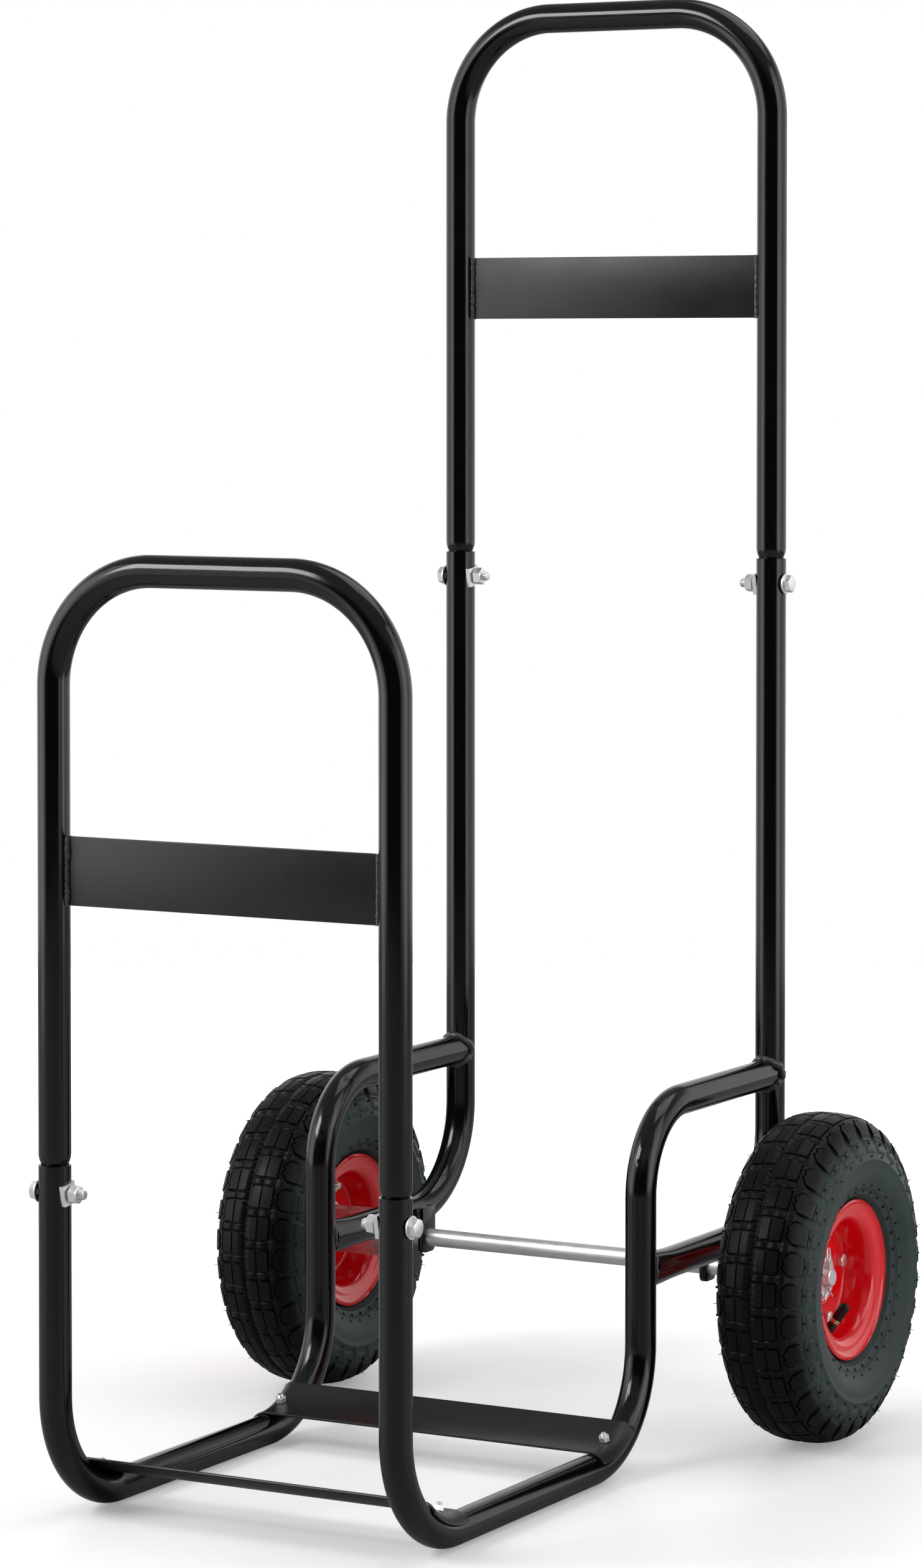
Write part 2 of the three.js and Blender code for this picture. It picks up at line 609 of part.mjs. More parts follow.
// The valve leans out of the dish; its own +Z runs from the bead seat to the cap.
const VALVE_WAY = new THREE.Vector3(...VALVE_LEAN).normalize();
function alongValve(geometry) {
  geometry.applyQuaternion(new THREE.Quaternion().setFromUnitVectors(Z_AXIS, VALVE_WAY));
  return geometry.translate(VALVE_OFFSET, VALVE_SWING, RIM_SHEET - SEAT_RADIUS);
}

// Outer half of the split rim, dished from the bolted disc out to the rolled flange.
function rimHalf() {
  const disc = (RIM_SHEET + FIT_GAP) / 2;
  const seat = SEAT_RADIUS - RIM_SHEET / 2;
  const middle = [
    [roundAbout(HUB_RADIUS + FIT_GAP, RIM_SIDES), disc],
    [DISC_FLAT_RADIUS, disc],
    [seat, BEAD_HALF_WIDTH - 2],
    [FLANGE_RADIUS - 4.5, BEAD_HALF_WIDTH + RIM_SHEET],
    [FLANGE_RADIUS - 0.7, RIM_HALF_WIDTH],
  ];
  const hole = roundAbout(RIM_BOLT_HOLE_DIAMETER / 2, BOLT_SIDES);
  const drill = () => alongX(rod(hole, BOLT_SIDES, -RIM_SHEET, 3 * RIM_SHEET));
  return cut(revolve(sheetOutline(middle, RIM_SHEET), RIM_SIDES), ...roundBoltCircle(drill));
}

function rimOuterGeometry() {
  const radius = roundAbout(VALVE_DIAMETER / 2 + FIT_GAP, BOLT_SIDES);
  return cut(rimHalf(), alongValve(rod(radius, BOLT_SIDES, -VALVE_DIAMETER, VALVE_DIAMETER)));
}

// The inner half is the same pressing turned over, with no valve hole and a weld nut on each
// bolt hole.
const RIM_PACK = RIM_SHEET + FIT_GAP / 2; // middle plane to the outside of either disc
function rimInnerGeometry() {
  const half = rimHalf().applyMatrix4(new THREE.Matrix4().makeScale(-1, 1, 1));
  const nut = () => alongX(nutGeometry(RIM_BOLT)).translate(-RIM_PACK - RIM_BOLT.nutHeight, 0, 0);
  return join(half, ...roundBoltCircle(nut));
}

function rimBoltGeometry() {
  const shank = 2 * RIM_PACK + FIT_GAP + RIM_BOLT.nutHeight + RIM_BOLT.stub;
  return alongX(boltGeometry(RIM_BOLT, shank)).translate(RIM_PACK + FIT_GAP, 0, 0);
}

// Hub: a sleeve through both discs, a collar welded behind them and a bearing pocket at each end.
const BEARING_RADIUS = BEARING.outer / 2;
const POCKET_RADIUS = roundAbout(BEARING_RADIUS + FIT_GAP, HUB_SIDES);
const POCKET_DEPTH = BEARING.width + 2 * FIT_GAP;
function hubGeometry() {
  const collar = -RIM_PACK - FIT_GAP;
  const shoulder = BEARING_RADIUS - BEARING.ringWall;
  return revolve(
    [
      [POCKET_RADIUS, HUB_INNER_END],
      [HUB_RADIUS, HUB_INNER_END],
      [HUB_RADIUS, collar - HUB_COLLAR_THICKNESS],
      [HUB_COLLAR_DIAMETER / 2, collar - HUB_COLLAR_THICKNESS],
      [HUB_COLLAR_DIAMETER / 2, collar],
      [HUB_RADIUS, collar],
      [HUB_RADIUS, HUB_OUTER_END],
      [POCKET_RADIUS, HUB_OUTER_END],
      [POCKET_RADIUS, HUB_OUTER_END - POCKET_DEPTH],
      [shoulder, HUB_OUTER_END - POCKET_DEPTH],
      [shoulder, HUB_INNER_END + POCKET_DEPTH],
      [POCKET_RADIUS, HUB_INNER_END + POCKET_DEPTH],
    ],
    HUB_SIDES,
  );
}

// Sealed ball bearing, its open face at x = 0: the shield lies a little below the two rings.
function bearingGeometry() {
  const bore = roundAbout(BEARING.bore / 2 + FIT_GAP, HUB_SIDES);
  const outerRace = BEARING_RADIUS - BEARING.ringWall;
  const innerRace = BEARING.bore / 2 + BEARING.ringWall;
  const outline = [
    [bore, -BEARING.width],
    [bore, 0],
    [innerRace, 0],
    [innerRace, -BEARING.shieldDepth],
    [outerRace, -BEARING.shieldDepth],
    [outerRace, 0],
    [BEARING_RADIUS, 0],
    [BEARING_RADIUS, -BEARING.width],
  ];
  return revolve(outline, HUB_SIDES);
}

// Tyre: half outlines of the outside, bead toe to crown, and of the inside, crown to bead.
const CROWN_RADIUS = TYRE_RADIUS - LUG_DEPTH;
const SIDE_REACH = TYRE_WIDTH / 2;
const TYRE_BORE = SEAT_RADIUS + FIT_GAP;
const SHOULDER = [CROWN_RADIUS - 20, SIDE_REACH];
const CROWN_CORNER = [CROWN_RADIUS, CENTRE_RIB_HALF_WIDTH + 1.5];
const TYRE_OUTSIDE = [
  [TYRE_BORE, BEAD_HALF_WIDTH - 11],
  [TYRE_BORE, BEAD_HALF_WIDTH - 3.6],
  [FLANGE_RADIUS + 1, BEAD_HALF_WIDTH - 0.3],
  [FLANGE_RADIUS + 20, SIDE_REACH - 2],
  SHOULDER,
  CROWN_CORNER,
  [TYRE_RADIUS, CENTRE_RIB_HALF_WIDTH],
];
const TYRE_INSIDE = [
  [CROWN_RADIUS - TYRE_WALL, CENTRE_RIB_HALF_WIDTH],
  [SHOULDER[0] - 3, SHOULDER[1] - TYRE_WALL - 1],
  [FLANGE_RADIUS + 19, SIDE_REACH - 3 - TYRE_WALL],
  [TYRE_BORE + 7, BEAD_HALF_WIDTH - 8],
];

// A shoulder lug stands on each flat of the cone between crown and shoulder, its point towards
// the centre, with drafted sides that meet in a groove along the edges of the flat.
// Corners are [share of the width, share of the way down the cone, height above the cone].
const LUG_CORNERS = [
  [0, 0.06, LUG_DEPTH - 0.6],
  [0.5, 0.3, LUG_DEPTH + 0.8],
  [0.44, 0.94, LUG_DEPTH - 1.4],
  [-0.44, 0.94, LUG_DEPTH - 1.4],
  [-0.5, 0.3, LUG_DEPTH + 0.8],
];
const LUG_FACES = [
  [0, 1, 4], [4, 1, 3], [1, 2, 3],
  [5, 6, 0], [6, 1, 0], [6, 7, 1], [7, 2, 1], [7, 3, 2], [7, 8, 3], [8, 4, 3], [8, 5, 4], [5, 0, 4],
];
const CONE_SLOPE = new THREE.Vector3(SHOULDER[1] - CROWN_CORNER[1], 0, SHOULDER[0] - CROWN_CORNER[0]);
const CONE_NORMAL = Y_AXIS.clone().cross(CONE_SLOPE).negate().normalize();
const CROWN_POINT = at(CROWN_CORNER[1], 0, CROWN_CORNER[0]);

function lugGeometry() {
  const halfPitch = Math.tan(Math.PI / LUG_COUNT);
  const onCone = (way) => CROWN_POINT.clone().addScaledVector(CONE_SLOPE, way);
  const top = LUG_CORNERS.map(([across, way, height]) =>
    onCone(way).addScaledVector(CONE_NORMAL, height).setY(across * LUG_WIDTH),
  );
  const [crown, shoulder] = [onCone(0), onCone(1)];
  const edges = [[crown, -1], [crown, 1], [shoulder, 1], [shoulder, -1]];
  const flat = edges.map(([point, sign]) => point.clone().setY(sign * halfPitch * point.z));
  const corners = [...top, ...flat];
  return new THREE.BufferGeometry().setFromPoints(LUG_FACES.flat().map((i) => corners[i]));
}

// A surface of revolution about X, open along its outline.
function turned(outline) {
  const points = outline.map(([radius, along]) => new THREE.Vector2(roundAbout(radius, LUG_COUNT), along));
  const lathe = new THREE.LatheGeometry(points, LUG_COUNT, Math.PI / LUG_COUNT).rotateZ(-Math.PI / 2);
  const bare = lathe.toNonIndexed();
  bare.deleteAttribute('normal');
  bare.deleteAttribute('uv');
  return bare;
}

function tyreGeometry() {
  const casing = TYRE_OUTSIDE.slice(0, TYRE_OUTSIDE.indexOf(SHOULDER) + 1);
  const crown = TYRE_OUTSIDE.slice(TYRE_OUTSIDE.indexOf(CROWN_CORNER));
  const pieces = [
    turned([...crown, ...mirrored(crown)]),
    turned([...mirrored(casing), ...mirrored(TYRE_INSIDE), ...TYRE_INSIDE, ...casing]),
  ];
  for (let i = 0; i < LUG_COUNT; i += 1) {
    const angle = (2 * Math.PI * i) / LUG_COUNT;
    pieces.push(lugGeometry().rotateX(angle), lugGeometry().rotateZ(Math.PI).rotateX(angle));
  }
  return mergeGeometries(pieces);
}

// Inner tube: fills the tyre, its skin open to the air only through the valve. The valve is its
// rubber stem with a brass core moulded in, collared between the rubber and the cap.
const [TREAD_CORNER, SHOULDER_CORNER, WALL_CORNER, BEAD_CORNER] = TYRE_INSIDE;
const TUBE_SLACK = 2; // inside the tyre
const VALVE_COLLAR_END = VALVE_RUBBER_LENGTH + VALVE_COLLAR_LENGTH;
const VALVE_CORE_END = VALVE_LENGTH - 2;
function innerTubeGeometry() {
  const around = (radius) => roundAbout(radius, INNER_TUBE_SIDES);
  const outside = [
    [around(TYRE_BORE + FIT_GAP), BEAD_CORNER[1] - 3 * TUBE_SLACK],
    [around(WALL_CORNER[0]), WALL_CORNER[1] - 2 * TUBE_SLACK],
    [SHOULDER_CORNER[0] - TUBE_SLACK, SHOULDER_CORNER[1] - TUBE_SLACK],
    [TREAD_CORNER[0] - TUBE_SLACK, TREAD_CORNER[1] - TUBE_SLACK],
  ];
  const air = [
    [around(TYRE_BORE + FIT_GAP + TUBE_SKIN), BEAD_CORNER[1] - 3 * TUBE_SLACK - TUBE_SKIN],
    [around(WALL_CORNER[0] + TUBE_SKIN), WALL_CORNER[1] - 2 * TUBE_SLACK - TUBE_SKIN],
    [TREAD_CORNER[0] - TUBE_SLACK - 2 * TUBE_SKIN, TREAD_CORNER[1] - 2 * TUBE_SKIN],
  ];
  const skin = revolve([...outside, ...mirrored(outside)], INNER_TUBE_SIDES);
  const hollow = revolve([...air, ...mirrored(air)], INNER_TUBE_SIDES);
  const stem = rod(VALVE_DIAMETER / 2, BOLT_SIDES, -VALVE_ROOT, VALVE_RUBBER_LENGTH);
  const collar = rod(VALVE_COLLAR_DIAMETER / 2, BOLT_SIDES, 0, VALVE_COLLAR_END);
  const core = rod(VALVE_CORE_DIAMETER / 2, BOLT_SIDES, 0, VALVE_CORE_END);
  const bore = rod(VALVE_BORE_DIAMETER / 2, BOLT_SIDES, -2 * VALVE_ROOT, VALVE_LENGTH);
  const valve = [stem, collar, core].map(alongValve);
  return cut(join(skin, ...valve), hollow, alongValve(bore));
}

function valveCapGeometry() {
  const start = VALVE_COLLAR_END + FIT_GAP;
  const thread = roundAbout(VALVE_CORE_DIAMETER / 2 + FIT_GAP, BOLT_SIDES);
  const pocket = rod(thread, BOLT_SIDES, 0, VALVE_CORE_END + FIT_GAP);
  return alongValve(cut(rod(VALVE_DIAMETER / 2, BOLT_SIDES, start, VALVE_LENGTH), pocket));
}

for (const { side, sign } of SIDES) {
  const wheel = new THREE.Group();
  wheel.position.set(sign * WHEEL_CENTRE, 0, 0);
  wheel.rotation.z = sign > 0 ? 0 : Math.PI;
  axleGroup.add(wheel);
  add(wheel, `${side}_tyre`, tyreGeometry(), 'tyre_rubber');
  add(wheel, `${side}_inner_tube`, innerTubeGeometry(), 'black_rubber');
  add(wheel, `${side}_valve_cap`, valveCapGeometry(), 'black_rubber');
  add(wheel, `${side}_rim_outer`, rimOuterGeometry(), 'red_rim');
  add(wheel, `${side}_rim_inner`, rimInnerGeometry(), 'red_rim');
  roundBoltCircle(rimBoltGeometry).forEach((bolt, i) => {
    add(wheel, `${side}_rim_bolt_${i + 1}`, bolt, 'zinc');
  });
  add(wheel, `${side}_hub`, hubGeometry(), 'zinc');
  const outer = add(wheel, `${side}_outer_bearing`, bearingGeometry(), 'zinc');
  outer.position.x = HUB_OUTER_END - FIT_GAP;
  const inner = add(wheel, `${side}_inner_bearing`, bearingGeometry(), 'zinc');
  inner.position.x = HUB_INNER_END + FIT_GAP;
  inner.rotation.z = Math.PI;
}

export default cart;
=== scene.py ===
"""Fireside log cart: the looks of the bolted tube frame and its two pneumatic wheels.

The origin is on the floor under the middle of the cart, +Y runs from the low front hoop to
the wheels, and +X to the right wheel. Lengths are in metres.
"""
import math

import bmesh
import bpy
from mathutils import Matrix, Vector


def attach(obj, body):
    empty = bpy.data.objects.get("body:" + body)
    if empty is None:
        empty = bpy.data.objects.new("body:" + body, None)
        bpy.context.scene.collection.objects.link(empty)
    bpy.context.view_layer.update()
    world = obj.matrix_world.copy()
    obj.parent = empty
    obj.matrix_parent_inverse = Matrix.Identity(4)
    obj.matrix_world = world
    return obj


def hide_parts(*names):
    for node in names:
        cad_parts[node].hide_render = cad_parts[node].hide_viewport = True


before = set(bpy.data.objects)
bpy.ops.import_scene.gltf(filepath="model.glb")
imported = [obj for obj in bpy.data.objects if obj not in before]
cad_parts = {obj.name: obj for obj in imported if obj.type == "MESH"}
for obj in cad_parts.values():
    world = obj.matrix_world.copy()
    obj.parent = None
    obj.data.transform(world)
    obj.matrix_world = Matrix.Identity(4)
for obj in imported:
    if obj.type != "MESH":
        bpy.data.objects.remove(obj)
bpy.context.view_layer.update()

# ---------- the photographer's view, the pale floor and the soft studio light ----------
# A long lens at chest height looks past the front right corner, 2 degrees down. Floor and walls
# are pale, four softboxes stand round the cart, and the room behind the camera is dark.
TO_CAMERA = Vector((0.48643, -0.87303, 0.0349))
lens = bpy.data.cameras.new("view")
lens.sensor_fit = "VERTICAL"
lens.sensor_height = 36
lens.lens = 112.315
lens.shift_y = -0.1653
lens.clip_end = 60
view = bpy.data.objects.new("view", lens)
view.location = (1.91565, -3.40623, 0.88816)
view.rotation_euler = (-TO_CAMERA).to_track_quat("-Z", "Y").to_euler()
bpy.context.scene.collection.objects.link(view)
bpy.context.scene.camera = view
bpy.context.scene.view_settings.view_transform = "Standard"


def node(tree, kind, inputs=None, **settings):
    """Adds a node, with values or links for its inputs."""
    made = tree.nodes.new(kind)
    for key, value in settings.items():
        setattr(made, key, value)
    for key, value in (inputs or {}).items():
        if isinstance(value, bpy.types.NodeSocket):
            tree.links.new(value, made.inputs[key])
        else:
            made.inputs[key].default_value = value
    return made


def grey(level):
    return (level, level, level, 1)


def soft_step(tree, value, low, high):
    """0 below low, 1 above high, eased in between."""
    inputs = {"Value": value, "From Min": low, "From Max": high}
    return node(tree, "ShaderNodeMapRange", inputs, interpolation_type="SMOOTHSTEP").outputs["Result"]


def blend_colour(tree, share, first, second):
    made = node(tree, "ShaderNodeMix", {0: share, 6: first, 7: second}, data_type="RGBA")
    return made.outputs[2]


def sum_of(tree, operation, first, second, third=0.0, **settings):
    """A Math node on up to three numbers or links."""
    inputs = {0: first, 1: second, 2: third}
    return node(tree, "ShaderNodeMath", inputs, operation=operation, **settings).outputs[0]


world = bpy.data.worlds.new("studio")
bpy.context.scene.world = world
world.use_nodes = True
sky = world.node_tree
DARK_WAY = Vector((0.337, -0.941, 0.0))  # from the cart to the dark end of the room
DARK_GREY, CEILING_GREY = 0.03, 0.3
way = node(sky, "ShaderNodeTexCoord").outputs["Generated"]
facing = node(sky, "ShaderNodeVectorMath", {0: way, 1: DARK_WAY}, operation="DOT_PRODUCT")
height = node(sky, "ShaderNodeSeparateXYZ", {0: way}).outputs["Z"]
dark_end = soft_step(sky, facing.outputs["Value"], 0.56, 0.72)
ceiling = soft_step(sky, height, 0.28, 0.6)
walls = blend_colour(sky, dark_end, grey(1.0), grey(DARK_GREY))
room = blend_colour(sky, ceiling, walls, grey(CEILING_GREY))
rays = node(sky, "ShaderNodeLightPath").outputs
clear = sum_of(sky, "MAXIMUM", rays["Is Camera Ray"], rays["Is Transmission Ray"])
dim = sum_of(sky, "MAXIMUM", dark_end, ceiling)
shine = sum_of(sky, "SUBTRACT", rays["Is Glossy Ray"], dim, use_clamp=True)
white = sum_of(sky, "MAXIMUM", clear, shine)
sky.links.new(blend_colour(sky, white, room, grey(1.0)), sky.nodes["Background"].inputs["Color"])


def softbox(name, place, aim, size, power):
    """A rectangular lamp; size is (width, height), power in watts."""
    lamp = bpy.data.lights.new(name, "AREA")
    lamp.shape = "RECTANGLE"
    lamp.size, lamp.size_y = size
    lamp.energy = power
    holder = bpy.data.objects.new(name, lamp)
    holder.location = place
    holder.rotation_euler = (Vector(aim) - Vector(place)).to_track_quat("-Z", "Y").to_euler()
    bpy.context.scene.collection.objects.link(holder)


softbox("softbox_front_left", (-1.52, -2.35, 2.3), (0.0, 0.0, 0.8), (1.4, 1.2), 46)
softbox("softbox_overhead", (0.7, 0.9, 3.3), (0.1, 0.1, 0.0), (2.2, 2.2), 22)
softbox("softbox_left", (-1.75, -1.35, 1.1), (0.0, 0.0, 0.8), (1.3, 2.6), 11)
softbox("softbox_right", (2.1, 0.15, 1.1), (0.1, 0.0, 0.6), (1.1, 2.6), 11)


def material(name):
    """A new material with its node tree and its shader."""
    made = bpy.data.materials.new(name)
    made.use_nodes = True
    return made, made.node_tree, made.node_tree.nodes["Principled BSDF"]


def mesh_of(form, name, finish=None):
    """Ends a bmesh as a mesh of one material."""
    mesh = bpy.data.meshes.new(name)
    form.to_mesh(mesh)
    form.free()
    if finish:
        mesh.materials.append(finish)
    return mesh


def piece_from(name, mesh):
    piece = bpy.data.objects.new(name, mesh)
    bpy.context.scene.collection.objects.link(piece)
    return piece


FLOOR_REACH = 3.2
NEAR_LIFT, FAR_LIFT = 0.27, 0.8  # the paper's own light, close to the cart and added far from it
paper, sheet, matt = material("pale_floor")
matt.inputs["Roughness"].default_value = 0.45
matt.inputs["Specular IOR Level"].default_value = 0.25
matt.inputs["Emission Color"].default_value = grey(1.0)
where = node(sheet, "ShaderNodeTexCoord").outputs["Object"]
away = node(sheet, "ShaderNodeVectorMath", {0: where}, operation="LENGTH").outputs["Value"]
lift = sum_of(sheet, "MULTIPLY_ADD", soft_step(sheet, away, 0.3, 1.4), FAR_LIFT, NEAR_LIFT)
seen = node(sheet, "ShaderNodeLightPath").outputs
sheet.links.new(sum_of(sheet, "MULTIPLY", seen["Is Camera Ray"], lift), matt.inputs["Emission Strength"])
colour = blend_colour(sheet, seen["Is Glossy Ray"], (0.86, 0.86, 0.855, 1), grey(0.4))
sheet.links.new(colour, matt.inputs["Base Color"])
disc = bmesh.new()
bmesh.ops.create_circle(disc, cap_ends=True, segments=96, radius=FLOOR_REACH)
piece_from("floor", mesh_of(disc, "floor", paper))

# ---------- side rails ----------
# Each side rail is one 25 mm steel tube, bent four times: down from the front joint, along the
# floor, up behind the cradle and back as the shelf. It is powder coated black, satin to gloss.
TUBE = 0.0125
TUBE_WALL = 0.0015
SIDE = 0.149
UPRIGHT = -0.33325  # plane of the front uprights
RISE = UPRIGHT + 0.393
REAR = UPRIGHT + 0.632
SHELF = 0.284
FRONT_JOINT = 0.274  # height of the tube's end, where the hoop plugs in
FLOOR_BEND = 0.085
SHELF_BEND = 0.070


def socket(tree, label, kind, way="INPUT"):
    return tree.interface.new_socket(label, in_out=way, socket_type="NodeSocket" + kind)


def shape_tree(label, **inputs):
    """An empty Geometry Nodes tree that takes a mesh and the named inputs."""
    tree = bpy.data.node_groups.new(label, "GeometryNodeTree")
    socket(tree, "Geometry", "Geometry")
    socket(tree, "Geometry", "Geometry", "OUTPUT")
    for name, kind in inputs.items():
        socket(tree, name.replace("_", " "), kind)
    return tree, node(tree, "NodeGroupInput").outputs


def close_tree(tree, shape, finish):
    """Ends a tree in plain smooth geometry with its material."""
    plain = node(tree, "GeometryNodeRealizeInstances", {"Geometry": shape}).outputs[0]
    smooth = node(tree, "GeometryNodeSetShadeSmooth", {"Geometry": plain}).outputs[0]
    painted = node(tree, "GeometryNodeSetMaterial", {"Geometry": smooth, "Material": finish})
    node(tree, "NodeGroupOutput", {0: painted.outputs[0]})


def keep_result(piece):
    """Turns a piece with modifiers into a plain mesh."""
    depsgraph = bpy.context.evaluated_depsgraph_get()
    mesh = bpy.data.meshes.new_from_object(piece.evaluated_get(depsgraph))
    piece.modifiers.clear()
    piece.data = mesh
    mesh.name = piece.name
    return piece


def crisp(piece, degrees=38, outwards=True):
    """Merges doubles, turns the faces outwards and keeps sharp edges sharp under smooth shading."""
    form = bmesh.new()
    form.from_mesh(piece.data)
    bmesh.ops.remove_doubles(form, verts=form.verts, dist=1e-6)
    if outwards:
        bmesh.ops.recalc_face_normals(form, faces=form.faces)
    for face in form.faces:
        face.smooth = True
    for edge in form.edges:
        edge.smooth = len(edge.link_faces) == 2 and edge.calc_face_angle(0) < math.radians(degrees)
    form.to_mesh(piece.data)
    form.free()
    return piece


def grow(name, tree, start, **inputs):
    """Runs a tree on a start mesh and keeps the result as a plain piece."""
    piece = piece_from(name, start)
    modifier = piece.modifiers.new(tree.name, "NODES")
    modifier.node_group = tree
    for item in tree.interface.items_tree:
        key = item.name.replace(" ", "_")
        if item.in_out == "INPUT" and key in inputs:
            modifier[item.identifier] = inputs[key]
    return keep_result(piece)


def line_of(corners):
    """An open line through corners (x, y, z, bend radius, girth), girth 1 where not given."""
    mesh = bpy.data.meshes.new("line")
    mesh.from_pydata([c[:3] for c in corners], [(i, i + 1) for i in range(len(corners) - 1)], [])
    for label, values in (
        ("bend", [c[3] if len(c) > 3 else 0.0 for c in corners]),
        ("girth", [c[4] if len(c) > 4 else 1.0 for c in corners]),
    ):
        mesh.attributes.new(label, "FLOAT", "POINT").data.foreach_set("value", values)
    return mesh


tube_tree, given = shape_tree("bent_tube", Radius="Float", Sides="Int", Bend_steps="Int", Finish="Material")
run = node(tube_tree, "GeometryNodeMeshToCurve", {"Mesh": given["Geometry"]}).outputs[0]
bend = node(tube_tree, "GeometryNodeInputNamedAttribute", {"Name": "bend"}).outputs["Attribute"]
girth = node(tube_tree, "GeometryNodeInputNamedAttribute", {"Name": "girth"}).outputs["Attribute"]
bent = node(tube_tree, "GeometryNodeFilletCurve", {"Curve": run, "Radius": bend}, mode="POLY")
tube_tree.links.new(given["Bend steps"], bent.inputs["Count"])
round_of = {"Resolution": given["Sides"], "Radius": given["Radius"]}
ring = node(tube_tree, "GeometryNodeCurvePrimitiveCircle", round_of).outputs[0]
sweep = {"Curve": bent.outputs[0], "Profile Curve": ring, "Scale": girth}
close_tree(tube_tree, node(tube_tree, "GeometryNodeCurveToMesh", sweep).outputs[0], given["Finish"])

# the look of sprayed finishes: fine orange peel, slow waves and patches of differing gloss
peel = bpy.data.node_groups.new("orange_peel", "ShaderNodeTree")
for label in ("Peel size", "Wave size"):
    socket(peel, label, "Float")
for label in ("Peel", "Wave", "Patches"):
    socket(peel, label, "Float", "OUTPUT")
sizes = node(peel, "NodeGroupInput").outputs
spot = node(peel, "ShaderNodeTexCoord").outputs["Object"]
results = {}
for label, size, detail in (
    ("Peel", "Peel size", 1.0),
    ("Wave", "Wave size", 1.5),
    ("Patches", "Wave size", 4.0),
):
    scale = sum_of(peel, "DIVIDE", 1.0, sizes[size])
    noise = node(peel, "ShaderNodeTexNoise", {"Vector": spot, "Scale": scale, "Detail": detail})
    results[label] = noise.outputs["Fac"]
node(peel, "NodeGroupOutput", results)


def spread(tree, noise, low, high):
    """Stretches the middle of a noise to the range from low to high."""
    inputs = {"Value": noise, "From Min": 0.3, "From Max": 0.7, "To Min": low, "To Max": high}
    return node(tree, "ShaderNodeMapRange", inputs).outputs[0]


def painted(name, colour, gloss, peel_size, wave_size, peel_depth, wave_depth, coat=0.0):
    """A sprayed finish; gloss is the least and the greatest roughness."""
    made, tree, shader = material(name)
    skin = node(tree, "ShaderNodeGroup", {"Peel size": peel_size, "Wave size": wave_size}, node_tree=peel)
    wave = node(tree, "ShaderNodeBump", {"Height": skin.outputs["Wave"], "Distance": wave_depth})
    relief = {"Height": skin.outputs["Peel"], "Distance": peel_depth, "Normal": wave.outputs[0]}
    tree.links.new(node(tree, "ShaderNodeBump", relief).outputs[0], shader.inputs["Normal"])
    tree.links.new(spread(tree, skin.outputs["Patches"], *gloss), shader.inputs["Roughness"])
    shader.inputs["Base Color"].default_value = (*colour, 1)
    shader.inputs["Coat Weight"].default_value = coat
    shader.inputs["Coat Roughness"].default_value = 0.08
    return made


black_coat = painted(
    "black_powder_coat", (0.0012, 0.0013, 0.0014), (0.10, 0.16), 0.0011, 0.055, 0.000008, 0.0003
)


def tube(name, corners, finish=black_coat, radius=TUBE, wall=TUBE_WALL, sides=56, steps=26):
    """A bent tube through corners, hollow where it has a wall."""
    start = line_of(corners)
    piece = grow(name, tube_tree, start, Radius=radius, Sides=sides, Bend_steps=steps, Finish=finish)
    crisp(piece)
    if wall:
        skin = piece.modifiers.new("wall", "SOLIDIFY")
        skin.thickness = wall
        skin.offset = -1
        keep_result(piece)
        crisp(piece, outwards=False)
    return piece


for side, x in (("left", -SIDE), ("right", SIDE)):
    rail = tube(
        f"{side}_rail_tube",
        [
            (x, UPRIGHT, FRONT_JOINT),
            (x, UPRIGHT, TUBE, FLOOR_BEND),
            (x, RISE, TUBE, FLOOR_BEND),
            (x, RISE, SHELF, SHELF_BEND),
            (x, REAR - 0.006, SHELF),
        ],
    )
    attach(rail, "frame")
    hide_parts(f"{side}_rail")

# ---------- rear legs ----------
# Each leg runs down from the rear joint and bends forwards over the axle to the rise. Its front
# end is cut square, pressed slightly oval and welded to the rise.
BRACE = 0.1543
REAR_JOINT = 0.717
PRESSED = 0.14  # how much narrower and taller the pressed end is
for side, x in (("left", -SIDE), ("right", SIDE)):
    end = RISE + TUBE + 0.0003
    leg = tube(
        f"{side}_leg_tube",
        [
            (x, REAR, REAR_JOINT),
            (x, REAR, BRACE, FLOOR_BEND),
            *[(x, end + back, BRACE) for back in (0.045, 0.030, 0.020, 0.010, 0.0)],
        ],
    )
    for vertex in leg.data.vertices:
        press = min(max(1 - (vertex.co.y - end) / 0.04, 0), 1)
        press = press * press * (3 - 2 * press)
        if press and vertex.co.z < 0.2:
            vertex.co.x = x + (vertex.co.x - x) * (1 - PRESSED * press)
            vertex.co.z = BRACE + (vertex.co.z - BRACE) * (1 + PRESSED * press)
    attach(leg, "frame")
    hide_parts(f"{side}_rear_leg")

# ---------- frame welds ----------
# Hand-laid beads join the shelf run to the leg and the brace to the rise. They were coated with
# the tubes, so they are lumps of the same black; they are coloured a paler grey all over as a painted sheen
# for the light the lumps catch.
weld_tree, given = shape_tree(
    "weld_bead", Radius="Float", Step="Float", Unevenness="Float", Seed="Float", Finish="Material"
)
path = node(weld_tree, "GeometryNodeMeshToCurve", {"Mesh": given["Geometry"]}).outputs[0]
dense = node(weld_tree, "GeometryNodeResampleCurve", {"Curve": path}, mode="LENGTH")
weld_tree.links.new(given["Step"], dense.inputs["Length"])
place = node(weld_tree, "GeometryNodeInputPosition").outputs[0]
uneven = {"Vector": place, "W": given["Seed"], "Scale": 260.0, "Detail": 2.0}
lumps = node(weld_tree, "ShaderNodeTexNoise", uneven, noise_dimensions="4D")
either_way = spread(weld_tree, lumps.outputs["Fac"], -1.0, 1.0)
swell = sum_of(weld_tree, "MULTIPLY_ADD", either_way, given["Unevenness"], 1.0)
centred = {0: lumps.outputs["Color"], 1: (0.5, 0.5, 0.5)}
stroll = node(weld_tree, "ShaderNodeVectorMath", centred, operation="SUBTRACT").outputs[0]
drift = node(weld_tree, "ShaderNodeVectorMath", {0: stroll}, operation="SCALE")
weld_tree.links.new(given["Radius"], drift.inputs["Scale"])
